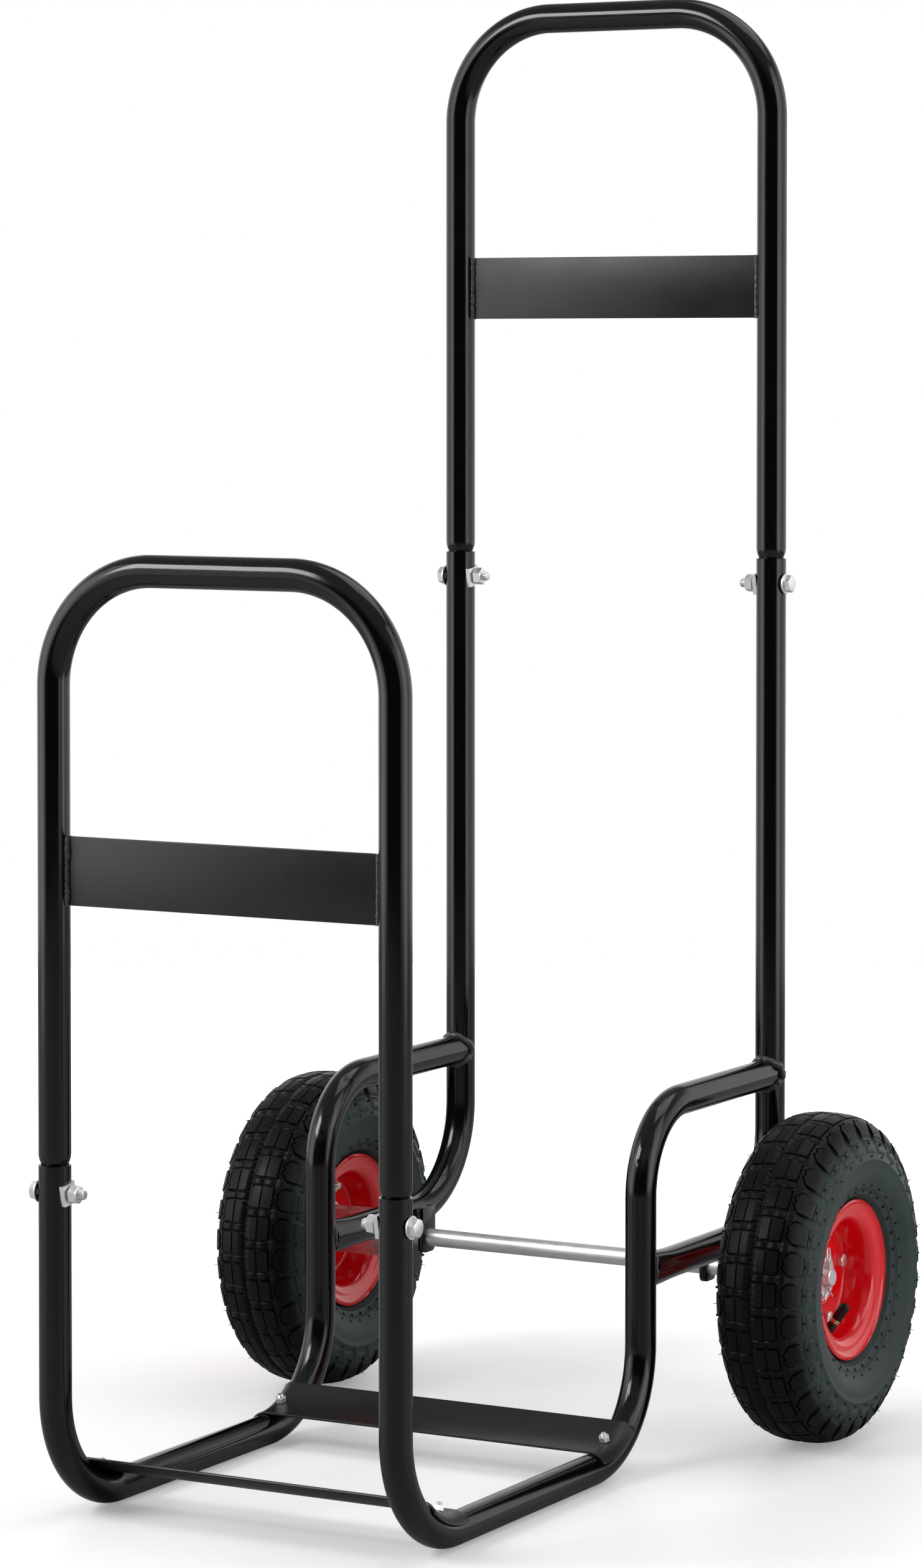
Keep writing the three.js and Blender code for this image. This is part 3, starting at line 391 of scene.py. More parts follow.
moved = {"Geometry": dense.outputs[0], "Offset": drift.outputs[0]}
wavy = node(weld_tree, "GeometryNodeSetPosition", moved).outputs[0]
round_of = {"Resolution": 12, "Radius": given["Radius"]}
ring = node(weld_tree, "GeometryNodeCurvePrimitiveCircle", round_of).outputs[0]
sweep = {"Curve": wavy, "Profile Curve": ring, "Scale": swell, "Fill Caps": True}
close_tree(weld_tree, node(weld_tree, "GeometryNodeCurveToMesh", sweep).outputs[0], given["Finish"])
# painted sheen: the beads' grey is much paler than the black tube coat, standing in for the light they
# reflect
weld_coat_painted_sheen = painted("coated_weld", (0.05, 0.052, 0.055), (0.22, 0.36), 0.0009, 0.006, 0.00006, 0.0004)


def weld(name, points, radius, seed, unevenness=0.35):
    """A coated bead along points; the seed picks its lumps."""
    sizes = {"Radius": radius, "Step": radius * 0.55, "Unevenness": unevenness, "Seed": seed}
    bead = crisp(grow(name, weld_tree, line_of(points), Finish=weld_coat_painted_sheen, **sizes), 60)
    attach(bead, "frame")


def ring_on_leg(x, reach, count=40):
    """Points all round the shelf run where it meets the leg, from straight up."""
    points = []
    for i in range(count + 1):
        angle = 2 * math.pi * i / count
        across, up = reach * math.sin(angle), reach * math.cos(angle)
        back = math.sqrt(max(TUBE**2 - min(abs(across), TUBE * 0.98) ** 2, 0))
        points.append((x + across, REAR - back - 0.0012, SHELF + up))
    return points


def ring_on_rise(x, half=115, count=30):
    """Points over the pressed end of the brace where it meets the rise, half degrees each way."""
    points = []
    for i in range(count + 1):
        angle = math.radians(half * (2 * i / count - 1))
        across, up = 0.0112 * math.sin(angle), 0.0146 * math.cos(angle)
        back = math.sqrt(TUBE**2 - across**2)
        points.append((x + across, RISE + back + 0.001, BRACE + up))
    return points


for side, x, seed in (("left", -SIDE, 3.0), ("right", SIDE, 7.0)):
    weld(f"{side}_shelf_weld", ring_on_leg(x, TUBE + 0.0004), 0.0031, seed, 0.22)
    weld(f"{side}_brace_weld", ring_on_rise(x), 0.0017, seed + 1)

# ---------- floor plates ----------
# Two strips of 2 mm flat steel tie the rails across the inside of the floor bends. Their ends are
# curled down round the rails, and each is held on a weld stud with an M5 zinc-plated nut.
PLATE_WIDTH = 0.0525
SETBACK = math.radians(18.7)  # how far round the bend a strip sits from its lowest point
CURL = math.radians(65)
plate_coat = painted(
    "charcoal_plate_coat", (0.009, 0.0095, 0.0105), (0.30, 0.42), 0.0012, 0.05, 0.000014, 0.0003
)


def on_bend(middle, lean):
    """Frame of a place on the floor bend: x across the cart, z towards the bend's middle."""
    depth = middle + FLOOR_BEND * math.sin(lean)
    height = TUBE + FLOOR_BEND * (1 - math.cos(lean))
    return Matrix.Translation((0, depth, height)) @ Matrix.Rotation(lean, 4, "X")


def plate_section():
    """Across the strip from the left curl to the right one: (x, share of the curl)."""
    curl = [CURL * i / 12 for i in range(13)]
    right = [(SIDE + 0.0137 * math.sin(a), 0.0137 * math.cos(a)) for a in curl]
    return [(-x, z) for x, z in reversed(right)] + [(x, z) for x, z in right]


def floor_plate(name, seat):
    form = bmesh.new()
    span = PLATE_WIDTH / (FLOOR_BEND - TUBE)
    rows = []
    for i in range(17):
        angle = span * (i / 16 - 0.5)
        row = []
        for x, up in plate_section():
            reach = FLOOR_BEND - up
            row.append(form.verts.new((x, reach * math.sin(angle), FLOOR_BEND - reach * math.cos(angle))))
        rows.append(row)
    for first, second in zip(rows, rows[1:]):
        for i in range(len(first) - 1):
            form.faces.new((first[i], first[i + 1], second[i + 1], second[i]))
    plate = piece_from(name, mesh_of(form, name, plate_coat))
    thick = plate.modifiers.new("thickness", "SOLIDIFY")
    thick.thickness = 0.002
    thick.offset = 0
    rounded = plate.modifiers.new("rounded_edges", "BEVEL")
    rounded.width = 0.0004
    rounded.segments = 2
    keep_result(plate)
    plate.data.transform(seat)
    return crisp(plate)


def ringed(name, rings, closed=False, caps=False, finish=None):
    """A mesh about X from rings of (distance along X, radius), each ring's points at even turns."""
    form = bmesh.new()
    made = []
    for ring in rings:
        turns = [2 * math.pi * i / len(ring) for i in range(len(ring))]
        places = [(x, r * math.cos(turn), r * math.sin(turn)) for (x, r), turn in zip(ring, turns)]
        made.append([form.verts.new(place) for place in places])
    for first, second in zip(made, [*made[1:], made[0]] if closed else made[1:]):
        for i in range(len(first)):
            form.faces.new((first[i], first[i - 1], second[i - 1], second[i]))
    if caps:
        form.faces.new(made[0])
        form.faces.new(made[-1])
    else:
        bmesh.ops.remove_doubles(form, verts=form.verts, dist=1e-7)
    return mesh_of(form, name, finish)


def spun(name, outline, sides=48, closed=True, finish=None):
    """A turned form about X from an outline of (radius, distance along X)."""
    return ringed(name, [[(along, radius)] * sides for radius, along in outline], closed, finish=finish)


zinc, plating, metal = material("zinc_plate")
grain = node(plating, "ShaderNodeGroup", {"Peel size": 0.0005, "Wave size": 0.004}, node_tree=peel)
dull = spread(plating, grain.outputs["Patches"], 0.34, 0.5)
bright = blend_colour(plating, grain.outputs["Patches"], (0.86, 0.87, 0.88, 1), (0.95, 0.955, 0.96, 1))
pits = node(plating, "ShaderNodeBump", {"Height": grain.outputs["Peel"], "Distance": 0.00001})
plating.links.new(bright, metal.inputs["Base Color"])
plating.links.new(dull, metal.inputs["Roughness"])
plating.links.new(pits.outputs[0], metal.inputs["Normal"])
metal.inputs["Metallic"].default_value = 1.0


def hexagon(across, height, bore=0.0, sides=72):
    """A hexagon head or nut on the plane x = 0, its top corners turned off; open bore if given."""
    flat = across / 2
    crown = flat * 0.96
    turns = [2 * math.pi * i / sides for i in range(sides)]
    corners = [flat / math.cos((turn + math.pi / 6) % (math.pi / 3) - math.pi / 6) for turn in turns]
    low = [(0, corner) for corner in corners]
    high = [(height - (corner - crown) * 0.55, corner) for corner in corners]
    foot, top, mouth = ([place] * sides for place in ((0, bore), (height, crown), (height, bore)))
    levels = [foot, low, high, top, mouth]
    return ringed("hexagon", levels, closed=bool(bore))


def thread(radius, pitch, length, sides=36, per_turn=8):
    """A screw thread along +X from x = 0, its end turned off."""
    depth = 0.55 * pitch
    count = max(int(length / pitch * per_turn), 4)
    rings = []
    for k in range(count + 1):
        along = length * k / count
        fade = min((length - along) / pitch, 1)
        ridges = [abs(2 * ((along / pitch - i / sides) % 1) - 1) for i in range(sides)]
        rings.append([(along, radius - depth * (1 - ridge) - 0.4 * pitch * (1 - fade)) for ridge in ridges])
    return ringed("thread", rings, caps=True)


def assembled(name, parts, finish):
    """One mesh from several (mesh, matrix) pairs."""
    form = bmesh.new()
    for mesh, place in parts:
        copy = mesh.copy()
        copy.transform(place)
        form.from_mesh(copy)
        bpy.data.meshes.remove(copy)
    return crisp(piece_from(name, mesh_of(form, name, finish)))


# sets one fastener on each point of a start mesh, turned by the point's own turn
set_tree, given = shape_tree("fasteners_in_place", Fastener="Object", Finish="Material")
pattern = node(set_tree, "GeometryNodeObjectInfo", {"Object": given["Fastener"]}).outputs["Geometry"]
turn = node(set_tree, "GeometryNodeInputNamedAttribute", {"Name": "turn"}, data_type="FLOAT_VECTOR")
rotation = node(set_tree, "FunctionNodeEulerToRotation", {0: turn.outputs["Attribute"]}).outputs[0]
points = node(set_tree, "GeometryNodeMeshToPoints", {"Mesh": given["Geometry"]}).outputs[0]
copied = {"Points": points, "Instance": pattern, "Rotation": rotation}
placed = node(set_tree, "GeometryNodeInstanceOnPoints", copied).outputs[0]
close_tree(set_tree, placed, given["Finish"])


def set_out(name, fastener, places, finish=zinc):
    """Copies of a fastener at (place, turn) pairs, as one piece; the pattern is used up."""
    spots = bpy.data.meshes.new(name)
    spots.from_pydata([place for place, turn in places], [], [])
    turns = spots.attributes.new("turn", "FLOAT_VECTOR", "POINT")
    for i, (place, turned) in enumerate(places):
        turns.data[i].vector = turned
    piece = grow(name, set_tree, spots, Fastener=fastener, Finish=finish)
    bpy.data.objects.remove(fastener)
    return crisp(piece)


UP = Matrix.Rotation(-math.pi / 2, 4, "Y")  # from +X to +Z
for end, middle, lean in (
    ("front", UPRIGHT + FLOOR_BEND, -SETBACK),
    ("rear", RISE - FLOOR_BEND, SETBACK),
):
    seat = on_bend(middle, lean)
    plate = floor_plate(f"{end}_tie_plate", seat)
    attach(plate, "frame")
    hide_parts(f"{end}_floor_plate")
    nut = assembled(
        "tie_plate_nut",
        [
            (hexagon(0.008, 0.004, 0.0022), Matrix.Identity(4)),
            (thread(0.0025, 0.0008, 0.0075), Matrix.Translation((-0.001, 0, 0))),
        ],
        zinc,
    )
    turned = (seat.to_3x3().to_4x4() @ UP).to_euler()
    places = [(seat @ Vector((x, 0, 0.0152)), turned) for x in (-SIDE, SIDE)]
    nuts = set_out(f"{end}_tie_plate_nuts", nut, places)
    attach(nuts, "frame")
    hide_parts(f"{end}_left_floor_plate_nut", f"{end}_right_floor_plate_nut")

# ---------- hoops ----------
# Each hoop is one tube bent to an upside-down U. Its ends are swaged down to plug into the lower
# tubes, and a flat steel strip is welded between its legs.
HOOP_BEND = 0.088


def hoop(name, depth, joint, top):
    """A tube bent to an upside-down U, from (height over the joint, girth) at its swaged ends."""
    neck = [(-0.045, 0.84), (0.0008, 0.84), (0.0012, 0.85), (0.0022, 0.88)]
    neck += [(0.0036, 0.93), (0.0056, 0.975), (0.0085, 1.0)]
    leg = [(joint + up, girth) for up, girth in neck]
    left = [(-SIDE, depth, z, 0.0, girth) for z, girth in leg]
    right = [(SIDE, depth, z, 0.0, girth) for z, girth in reversed(leg)]
    corners = [(-SIDE, depth, top, HOOP_BEND, 1.0), (SIDE, depth, top, HOOP_BEND, 1.0)]
    return tube(name, [*left, *corners, *right], steps=30)


def strip(name, depth, bottom):
    """Flat strip between the hoop's legs, its edges a little rounded."""
    form = bmesh.new()
    bmesh.ops.create_cube(form, size=1)
    width = 2 * (SIDE - TUBE) + 0.002
    bmesh.ops.scale(form, vec=(width, 0.003, PLATE_WIDTH), verts=form.verts)
    bmesh.ops.translate(form, vec=(0, depth, bottom + PLATE_WIDTH / 2), verts=form.verts)
    bmesh.ops.bevel(form, geom=form.edges, offset=0.0006, segments=3, affect="EDGES", profile=0.5)
    return crisp(piece_from(name, mesh_of(form, name, plate_coat)), 50)


for end, depth, joint, top, bottom, seed in (
    ("front", UPRIGHT, FRONT_JOINT, 0.726, 0.472, 11.0),
    ("rear", REAR, REAR_JOINT, 1.175, 0.9185, 23.0),
):
    bow = hoop(f"{end}_hoop_tube", depth, joint, top)
    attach(bow, "frame")
    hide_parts(f"{end}_hoop")
    plate = strip(f"{end}_cross_strip", depth, bottom)
    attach(plate, "frame")
    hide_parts(f"{end}_hoop_plate")
    for side, sign in (("left", -1), ("right", 1)):
        for face, shift in (("front", -0.0022), ("back", 0.0022)):
            x = sign * (SIDE - TUBE - 0.0006)
            points = [(x, depth + shift, bottom + PLATE_WIDTH * i / 12) for i in range(13)]
            weld(f"{end}_{side}_strip_weld_{face}", points, 0.0019, seed)
            seed += 1.7

# ---------- joint bolts ----------
# An M8 zinc-plated bolt crosses each hoop joint: hexagon head on a round washer outside, a saddle
# washer and a nut inside, with a few turns of thread showing beyond the nut.
HEAD_SEAT = TUBE + 0.0003
BOLT_DROP = 0.021  # from the joint down to the bolt


def saddle():
    """A 16 mm square washer, hollowed to sit on the tube; flat face towards +X."""
    form = bmesh.new()
    rows = []
    half = 0.008
    for i in range(17):
        y = half * (i / 8 - 1)
        seat = math.sqrt((TUBE + 0.0004) ** 2 - y * y)
        ring = []
        for z in (-half, half):
            ring.append(form.verts.new((seat, y, z)))
        for z in (half, -half):
            ring.append(form.verts.new((seat + 0.0022 + (TUBE - seat) * 0.55, y, z)))
        rows.append(ring)
    for first, second in zip(rows, rows[1:]):
        for k in range(4):
            form.faces.new((first[k], first[(k + 1) % 4], second[(k + 1) % 4], second[k]))
    form.faces.new(rows[0])
    form.faces.new(rows[-1])
    bmesh.ops.recalc_face_normals(form, faces=form.faces)
    return mesh_of(form, "saddle")


washer_profile = [(0.004, 0), (0.0084, 0), (0.00875, 0.0004)]
washer_profile += [(0.00875, 0.0013), (0.0084, 0.0016), (0.0043, 0.0016)]
flat_washer = spun("washer", washer_profile)
shank = spun("shank", [(0, -0.036), (0.0039, -0.036), (0.0039, 0.001), (0, 0.001)], closed=False)
flip = Matrix.Rotation(math.pi, 4, "Z")
for end, depth, joint in (("front", UPRIGHT, FRONT_JOINT), ("rear", REAR, REAR_JOINT)):
    height = joint - BOLT_DROP
    outside = [(Vector((s * SIDE, depth, height)), (0.2 * s, 0, 0 if s > 0 else math.pi)) for s in (-1, 1)]
    bolt = assembled(
        "bolt",
        [
            (flat_washer, Matrix.Translation((HEAD_SEAT, 0, 0))),
            (hexagon(0.013, 0.0053), Matrix.Translation((HEAD_SEAT + 0.0016, 0, 0))),
            (shank, Matrix.Translation((HEAD_SEAT, 0, 0))),
            (thread(0.004, 0.00125, 0.0125), Matrix.Translation((-TUBE - 0.0024, 0, 0)) @ flip),
        ],
        zinc,
    )
    washer = assembled("saddle_washer", [(saddle(), flip)], zinc)
    nut_form = hexagon(0.013, 0.0065, 0.0038)
    nut = assembled("joint_nut", [(nut_form, Matrix.Translation((-TUBE - 0.0032, 0, 0)) @ flip)], zinc)
    for kind, fastener in (("joint_bolt", bolt), ("saddle_washer", washer), ("joint_nut", nut)):
        row = set_out(f"{end}_{kind}s", fastener, outside)
        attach(row, "frame")
        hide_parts(f"{end}_left_{kind}", f"{end}_right_{kind}")

# ---------- axle and what keeps the wheels on it ----------
# A plain 15 mm zinc-plated steel bar hangs in two tabs that are welded to the braces. A washer
# stands at each side of a wheel, and a split pin through the bar holds the outer one.
AXLE = Vector((0, UPRIGHT + 0.545, 0.134))
TAB_SHEET = 0.005
axle_half = 0.2477
axle_outline = [
    (0, -axle_half),
    (0.0066, -axle_half),
    (0.0075, -axle_half + 0.0009),
    (0.0075, axle_half - 0.0009),
    (0.0066, axle_half),
    (0, axle_half),
]
bar = spun("axle_bar", axle_outline, 64, closed=False, finish=zinc)
axle = crisp(piece_from("axle_bar", bar), 30)
axle.data.transform(Matrix.Translation(AXLE))
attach(axle, "frame")
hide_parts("axle")


def tab(name, x):
    """The hanging tab: straight sides, two rounded lower corners."""
    half, drop, corner, top = 0.011, 0.0127, 0.006, 0.0265
    outline = [(half, top), (-half, top)]
    for start, middle in ((math.pi, corner - half), (1.5 * math.pi, half - corner)):
        for k in range(9):
            angle = start + math.pi / 2 * k / 8
            low = corner - drop + corner * math.sin(angle)
            outline.append((middle + corner * math.cos(angle), low))
    form = bmesh.new()
    face = form.faces.new([form.verts.new((0, y, z)) for y, z in outline])
    pushed = bmesh.ops.extrude_face_region(form, geom=[face])["geom"]
    moved = [part for part in pushed if isinstance(part, bmesh.types.BMVert)]
    bmesh.ops.translate(form, vec=(TAB_SHEET, 0, 0), verts=moved)
    bmesh.ops.recalc_face_normals(form, faces=form.faces)
    rims = [e for e in form.edges if e.calc_face_angle(0) > 1]
    bmesh.ops.bevel(form, geom=rims, offset=0.0005, segments=2, affect="EDGES", profile=0.5)
    mesh = mesh_of(form, name, black_coat)
    mesh.transform(Matrix.Translation(AXLE + Vector((x, 0, 0))))
    return crisp(piece_from(name, mesh), 50)


washer_outline = [
    (0.0078, 0), (0.0157, 0), (0.016, 0.0003), (0.016, 0.0017), (0.0157, 0.002), (0.0081, 0.002),
    (0.0078, 0.0017),
]
# the wire of the pin: (side of its middle, y, z, bend radius) in millimetres from the axle
PIN_BENDS = [
    (-1, -5.5, -18.0, 0.0), (-1, 0.0, -11.5, 2.0), (-1, 0.0, 11.8, 1.5), (-1, 5.0, 16.0, 2.0),
    (-1, 3.4, 23.5, 2.2), (0, -3.4, 24.0, 2.2), (1, -5.0, 16.0, 2.0), (1, 0.0, 11.8, 1.5),
    (1, 0.0, -11.5, 2.0), (1, 5.5, -16.5, 0.0),
]
for side, sign in (("left", -1), ("right", 1)):
    bracket_x = SIDE - TUBE - 0.0003 - TAB_SHEET
    bracket = tab(f"{side}_axle_tab", bracket_x if sign > 0 else -bracket_x - TAB_SHEET)
    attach(bracket, "frame")
    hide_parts(f"{side}_axle_bracket")
    seam = sign * (SIDE - TUBE - 0.0010)
    for face, shift, seed in (("front", -0.0115, 31.0), ("back", 0.0115, 35.0)):
        points = [(seam, AXLE.y + shift, BRACE - 0.012 + 0.002 * i) for i in range(10)]
        weld(f"{side}_tab_weld_{face}", points, 0.0016, seed + sign)
    for label, x in (("inner", 0.1618), ("outer", 0.2397)):
        ring = spun("washer", washer_outline, 64, finish=zinc)
        washer = crisp(piece_from(f"{side}_{label}_washer", ring), 30)
        if sign < 0:
            washer.data.transform(flip)
        washer.data.transform(Matrix.Translation(AXLE + Vector((sign * x, 0, 0))))
        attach(washer, "frame")
        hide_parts(f"{side}_{label}_axle_washer")
    pin_x = sign * 0.2437
    wire = 0.00085
    leg = wire * 1.05
    spot = AXLE + Vector((pin_x, 0, 0))
    corners = [
        (spot.x + s * leg, spot.y + y / 1000, spot.z + z / 1000, bend / 1000) for s, y, z, bend in PIN_BENDS
    ]
    pin = tube(f"{side}_cotter", corners, finish=zinc, radius=wire, wall=0, sides=14, steps=6)
    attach(pin, "frame")
    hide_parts(f"{side}_split_pin")

# ---------- wheel rims ----------
# The rim is two pressed steel dishes, bolted back to back round the hub and enamelled glossy red.
# Each has a flat disc, a fold up to the bead seat and a rolled flange.
WHEEL = 0.2354  # middle plane of the right wheel
RIM_SHEET = 0.002
BOLT_RING = 0.036
red_enamel = painted(
    "red_enamel", (0.82, 0.003, 0.009), (0.06, 0.11), 0.0016, 0.03, 0.000006, 0.00015, coat=0.4
)
dish = [
    (0.0208, 0.00120), (0.0216, 0.00120), (0.0222, 0.00185), (0.0238, 0.00185), (0.0245, 0.00120),
    (0.0330, 0.00118), (0.0400, 0.00118), (0.0418, 0.00140), (0.0432, 0.00240), (0.0440, 0.00420),
    (0.0452, 0.00900), (0.0463, 0.01400), (0.0474, 0.01850), (0.0487, 0.02200), (0.0507, 0.02450),
    (0.0540, 0.02580), (0.0580, 0.02650), (0.0612, 0.02740), (0.0634, 0.02880), (0.0645, 0.03030),
]


def on_wheel(side, mesh):
    """Moves a mesh made for a wheel, +X outwards from its middle plane, to its side."""
    if side == "left":
        mesh.transform(flip)
    mesh.transform(Matrix.Translation(AXLE + Vector((WHEEL if side == "right" else -WHEEL, 0, 0))))


def eased(points, steps=3):
    """A smooth line through points."""
    line = []
    for i in range(len(points) - 1):
        p = [Vector(points[max(min(i + k, len(points) - 1), 0)]) for k in (-1, 0, 1, 2)]
        for s in range(steps):
            t = s / steps
            square = 2 * p[0] - 5 * p[1] + 4 * p[2] - p[3]
            cube = 3 * p[1] - p[0] - 3 * p[2] + p[3]
            line.append(0.5 * (2 * p[1] + (p[2] - p[0]) * t + square * t * t + cube * t**3))
    return [tuple(v) for v in line] + [points[-1]]


def wheel_piece(side, name, mesh, *nodes, slot, angle=38):
    on_wheel(side, mesh)
    piece = crisp(piece_from(f"{side}_{name}", mesh), angle)
    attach(piece, f"{side}_wheel")
    if nodes:
        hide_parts(*[f"{side}_{n}" for n in nodes])
    return piece


def rim_half(turn_over):
    """One pressed dish with its thickness and rolled edge; turned over for the inner side."""
    mesh = spun("rim", eased(dish), 128, closed=False, finish=red_enamel)
    holder = piece_from("rim", mesh)
    crisp(holder, 60)
    sheet = holder.modifiers.new("sheet", "SOLIDIFY")
    sheet.thickness = RIM_SHEET
    sheet.offset = 0
    edge = holder.modifiers.new("rolled_edge", "BEVEL")
    edge.width = 0.0009
    edge.segments = 4
    edge.limit_method = "ANGLE"
    edge.angle_limit = math.radians(60)
    keep_result(holder)
    result = holder.data
    bpy.data.objects.remove(holder)
    if turn_over:
        result.transform(Matrix.Scale(-1, 4, (1, 0, 0)))
        result.flip_normals()
    return result


RIM_BOLTS = [math.radians(13 + 90 * k) for k in range(4)]
for side in ("left", "right"):
    wheel_piece(side, "outer_rim_half", rim_half(False), "rim_outer", slot="red_rim", angle=60)
    wheel_piece(side, "inner_rim_half", rim_half(True), "rim_inner", slot="red_rim", angle=60)
    nut_form = hexagon(0.010, 0.005, 0.0029)
    weld_nut = assembled("weld_nut", [(nut_form, Matrix.Translation((0.00215, 0, 0)))], zinc)
    spots = [(Vector((0, BOLT_RING * math.cos(a), BOLT_RING * math.sin(a))), (a, 0, 0)) for a in RIM_BOLTS]
    backs = [(p, (-a, 0, math.pi)) for (p, _), a in zip(spots, RIM_BOLTS)]
    nuts = set_out(f"{side}_rim_nuts", weld_nut, backs)
    on_wheel(side, nuts.data)
    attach(nuts, f"{side}_wheel")
    bolt = assembled(
        "rim_bolt",
        [
            (hexagon(0.010, 0.004), Matrix.Translation((0.00245, 0, 0))),
            (thread(0.003, 0.001, 0.0135), Matrix.Translation((0.0026, 0, 0)) @ flip),
        ],
        zinc,
    )
    bolts = set_out(f"{side}_rim_bolts", bolt, spots)
    on_wheel(side, bolts.data)
    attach(bolts, f"{side}_wheel")
    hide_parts(*[f"{side}_rim_bolt_{k}" for k in range(1, 5)])

# ---------- hub and bearings ----------
# A zinc-plated steel sleeve runs through both dishes, with a collar behind them and a sealed ball
# bearing pressed into each end: two ground rings with a seal between them, which is black on the cart and
# drawn here in the same zinc as the rings.
hub_outline = [
    (0.0178, -0.0713), (0.0196, -0.0713), (0.0200, -0.0709), (0.0200, -0.00545), (0.0230, -0.00545),
    (0.0230, -0.00245), (0.0200, -0.00245), (0.0200, 0.0036), (0.0196, 0.0040), (0.0178, 0.0040),
    (0.0178, -0.0076), (0.0146, -0.0076), (0.0146, -0.0597), (0.0178, -0.0597),
]
bearing_outline = [
    (0.00785, -0.011), (0.00785, -0.0002), (0.0082, 0.0), (0.0102, 0.0), (0.0104, -0.0002),
    (0.0104, -0.0008), (0.0108, -0.0006), (0.0142, -0.0006), (0.0146, -0.0008), (0.0146, -0.0002),
    (0.0148, 0.0), (0.0172, 0.0), (0.0175, -0.0003), (0.0175, -0.011),
]
BEARING_SEATS = {
    "outer": Matrix.Translation((0.0037, 0, 0)),
    "inner": Matrix.Translation((-0.0710, 0, 0)) @ flip,
}
for side in ("left", "right"):
    wheel_piece(side, "hub_sleeve", spun("hub", hub_outline, 72, finish=zinc), "hub", slot="zinc", angle=30)
    for label, seat in BEARING_SEATS.items():
        ring = spun("bearing", bearing_outline, 72, finish=zinc)
        ring.transform(seat)
        wheel_piece(side, f"{label}_ball_bearing", ring, f"{label}_bearing", slot="zinc", angle=30)

# ---------- tyres ----------
# A 10 inch moulded rubber tyre. A pitch of its tread has a wide centre block and a shoulder lug
# on each side, half a pitch apart; 31 pitches make the ring. The sidewall is greyer.
PITCHES = 31
PITCH = 25.5  # millimetres along the lugs
TYRE_LINE = [
    (134.0, 0.0), (133.7, 10.0), (132.4, 18.0), (129.8, 25.5), (125.5, 31.0), (120.0, 34.7),
    (114.0, 37.6), (108.0, 40.1), (103.0, 41.8), (97.0, 42.7), (90.0, 42.2), (82.0, 39.7),
    (75.0, 35.8), (69.5, 31.6), (66.8, 28.8), (66.2, 26.8), (62.5, 25.0), (57.0, 23.9), (52.6, 22.9),
    (51.1, 20.5), (51.0, 15.0),
]
fine_line = eased(TYRE_LINE, 24)
lengths = [0.0]
for before, after in zip(fine_line, fine_line[1:]):
    lengths.append(lengths[-1] + math.dist(before, after))


def wall_at(length):
    """Place and outward way of the tyre's skin at a distance from its crown, in millimetres."""
    i = 1
    while i < len(lengths) - 1 and lengths[i] < length:
        i += 1
    share = (length - lengths[i - 1]) / (lengths[i] - lengths[i - 1])
    (r0, x0), (r1, x1) = fine_line[i - 1], fine_line[i]
    run = math.hypot(r1 - r0, x1 - x0)
    return r0 + (r1 - r0) * share, x0 + (x1 - x0) * share, (x1 - x0) / run, -(r1 - r0) / run


LUG = 8.5  # half the width of a block or lug round the tyre
NOTCH = 2.95  # half the width of the notch in a lug's point
TYRE_TURN = Matrix.Rotation(math.radians(5.5), 4, "X")  # where the lugs stand at rest
SPOTS = [0.0, 1.5, 2.65, 2.95, 4.1, 4.4, 5.75, 7.0, 8.35, 8.65, 9.8, 10.1, 11.25, 12.75]


def tread_line(across):
    """From crown to bead at one place round a pitch: (distance from the crown, depth cut away)."""
    s = abs(across)
    lug = s < LUG
    cut = LUG < s < 9.9  # the groove beside it
    tooth = 0.5 * math.sin(2 * math.pi * across / 4.25 + 0.8)
    block = 0.0 if lug else 2.1 if cut else 0.45
    sipe = 1.4 if lug else block + 0.5 if not cut else 2.1
    line = [(0.0, 2.2), (0.9 + tooth, 2.2), (1.35 + tooth, block), (6.0, block)]
    line += [(11.3, block), (11.6, sipe), (12.4, sipe), (12.7, block), (17.5, block)]
    edge = 22.3 + tooth
    low = 2.1 if lug else 1.2
    line += [(edge - 0.25, block), (edge + 0.1, low), (edge + 1.0, low), (edge + 1.4, 0.45)]
    if s < NOTCH:
        tip = 28.6 - 2.0 * s / NOTCH
    else:
        tip = 26.6 + 4.6 * min((s - NOTCH) / (LUG - NOTCH), 1)
    side = 0.0 if lug else 2.3
    line += [(tip - 1.65, 0.5), (tip - 1.35, 2.3 if lug else 0.6), (tip - 0.3, 2.3 if lug else 0.8)]
    line += [(tip, 0.0 if lug else 2.3 if cut else 0.9)]
    line += [(tip + 1.0, 0.0 if lug else 2.3 if cut else 1.0)]
    between = (1.3, 1.7, 2.1, 2.3, 2.4, 2.3, 1.9, 1.6, 1.5, 1.4, 1.3, 1.0, 0.6, 0.6, 0.6, 0.3)
    beyond = (34.5, 37.0, 39.5, 41.3, 42.6, 43.4, 45.4, 46.1, 46.4, 47.3, 47.6, 50.0, 50.4, 51.0, 56.8, 57.4)
    pad = -0.5 if s < 7.1 else 0.8
    on_lug = (0.0, 0.0, 0.0, 0.0, 0.0, 0.9, 0.5, 0.3, 1.3, 1.3, 0.2, 0.5, 0.5, pad, pad, 0.5)
    for length, low, high in zip(beyond, between, on_lug):
        line.append((length, high if lug else max(low, side if length < 42 and cut else 0)))
    rings = ((58.6, 0), (62.0, 0), (62.6, -0.45), (63.2, 0), (69.0, 0), (76.0, 0), (83.0, 0), (86.4, 0))
    rings += ((87.0, -0.45), (87.6, 0), (93.0, 0), (93.8, -0.6), (94.6, 0), (98.0, 0), (101.0, 0))
    rings += ((105.0, 0), (110.5, 0), (115.0, 0), (117.6, 0))
    return [*line, *rings, (lengths[-1] - 0.2, 0)]


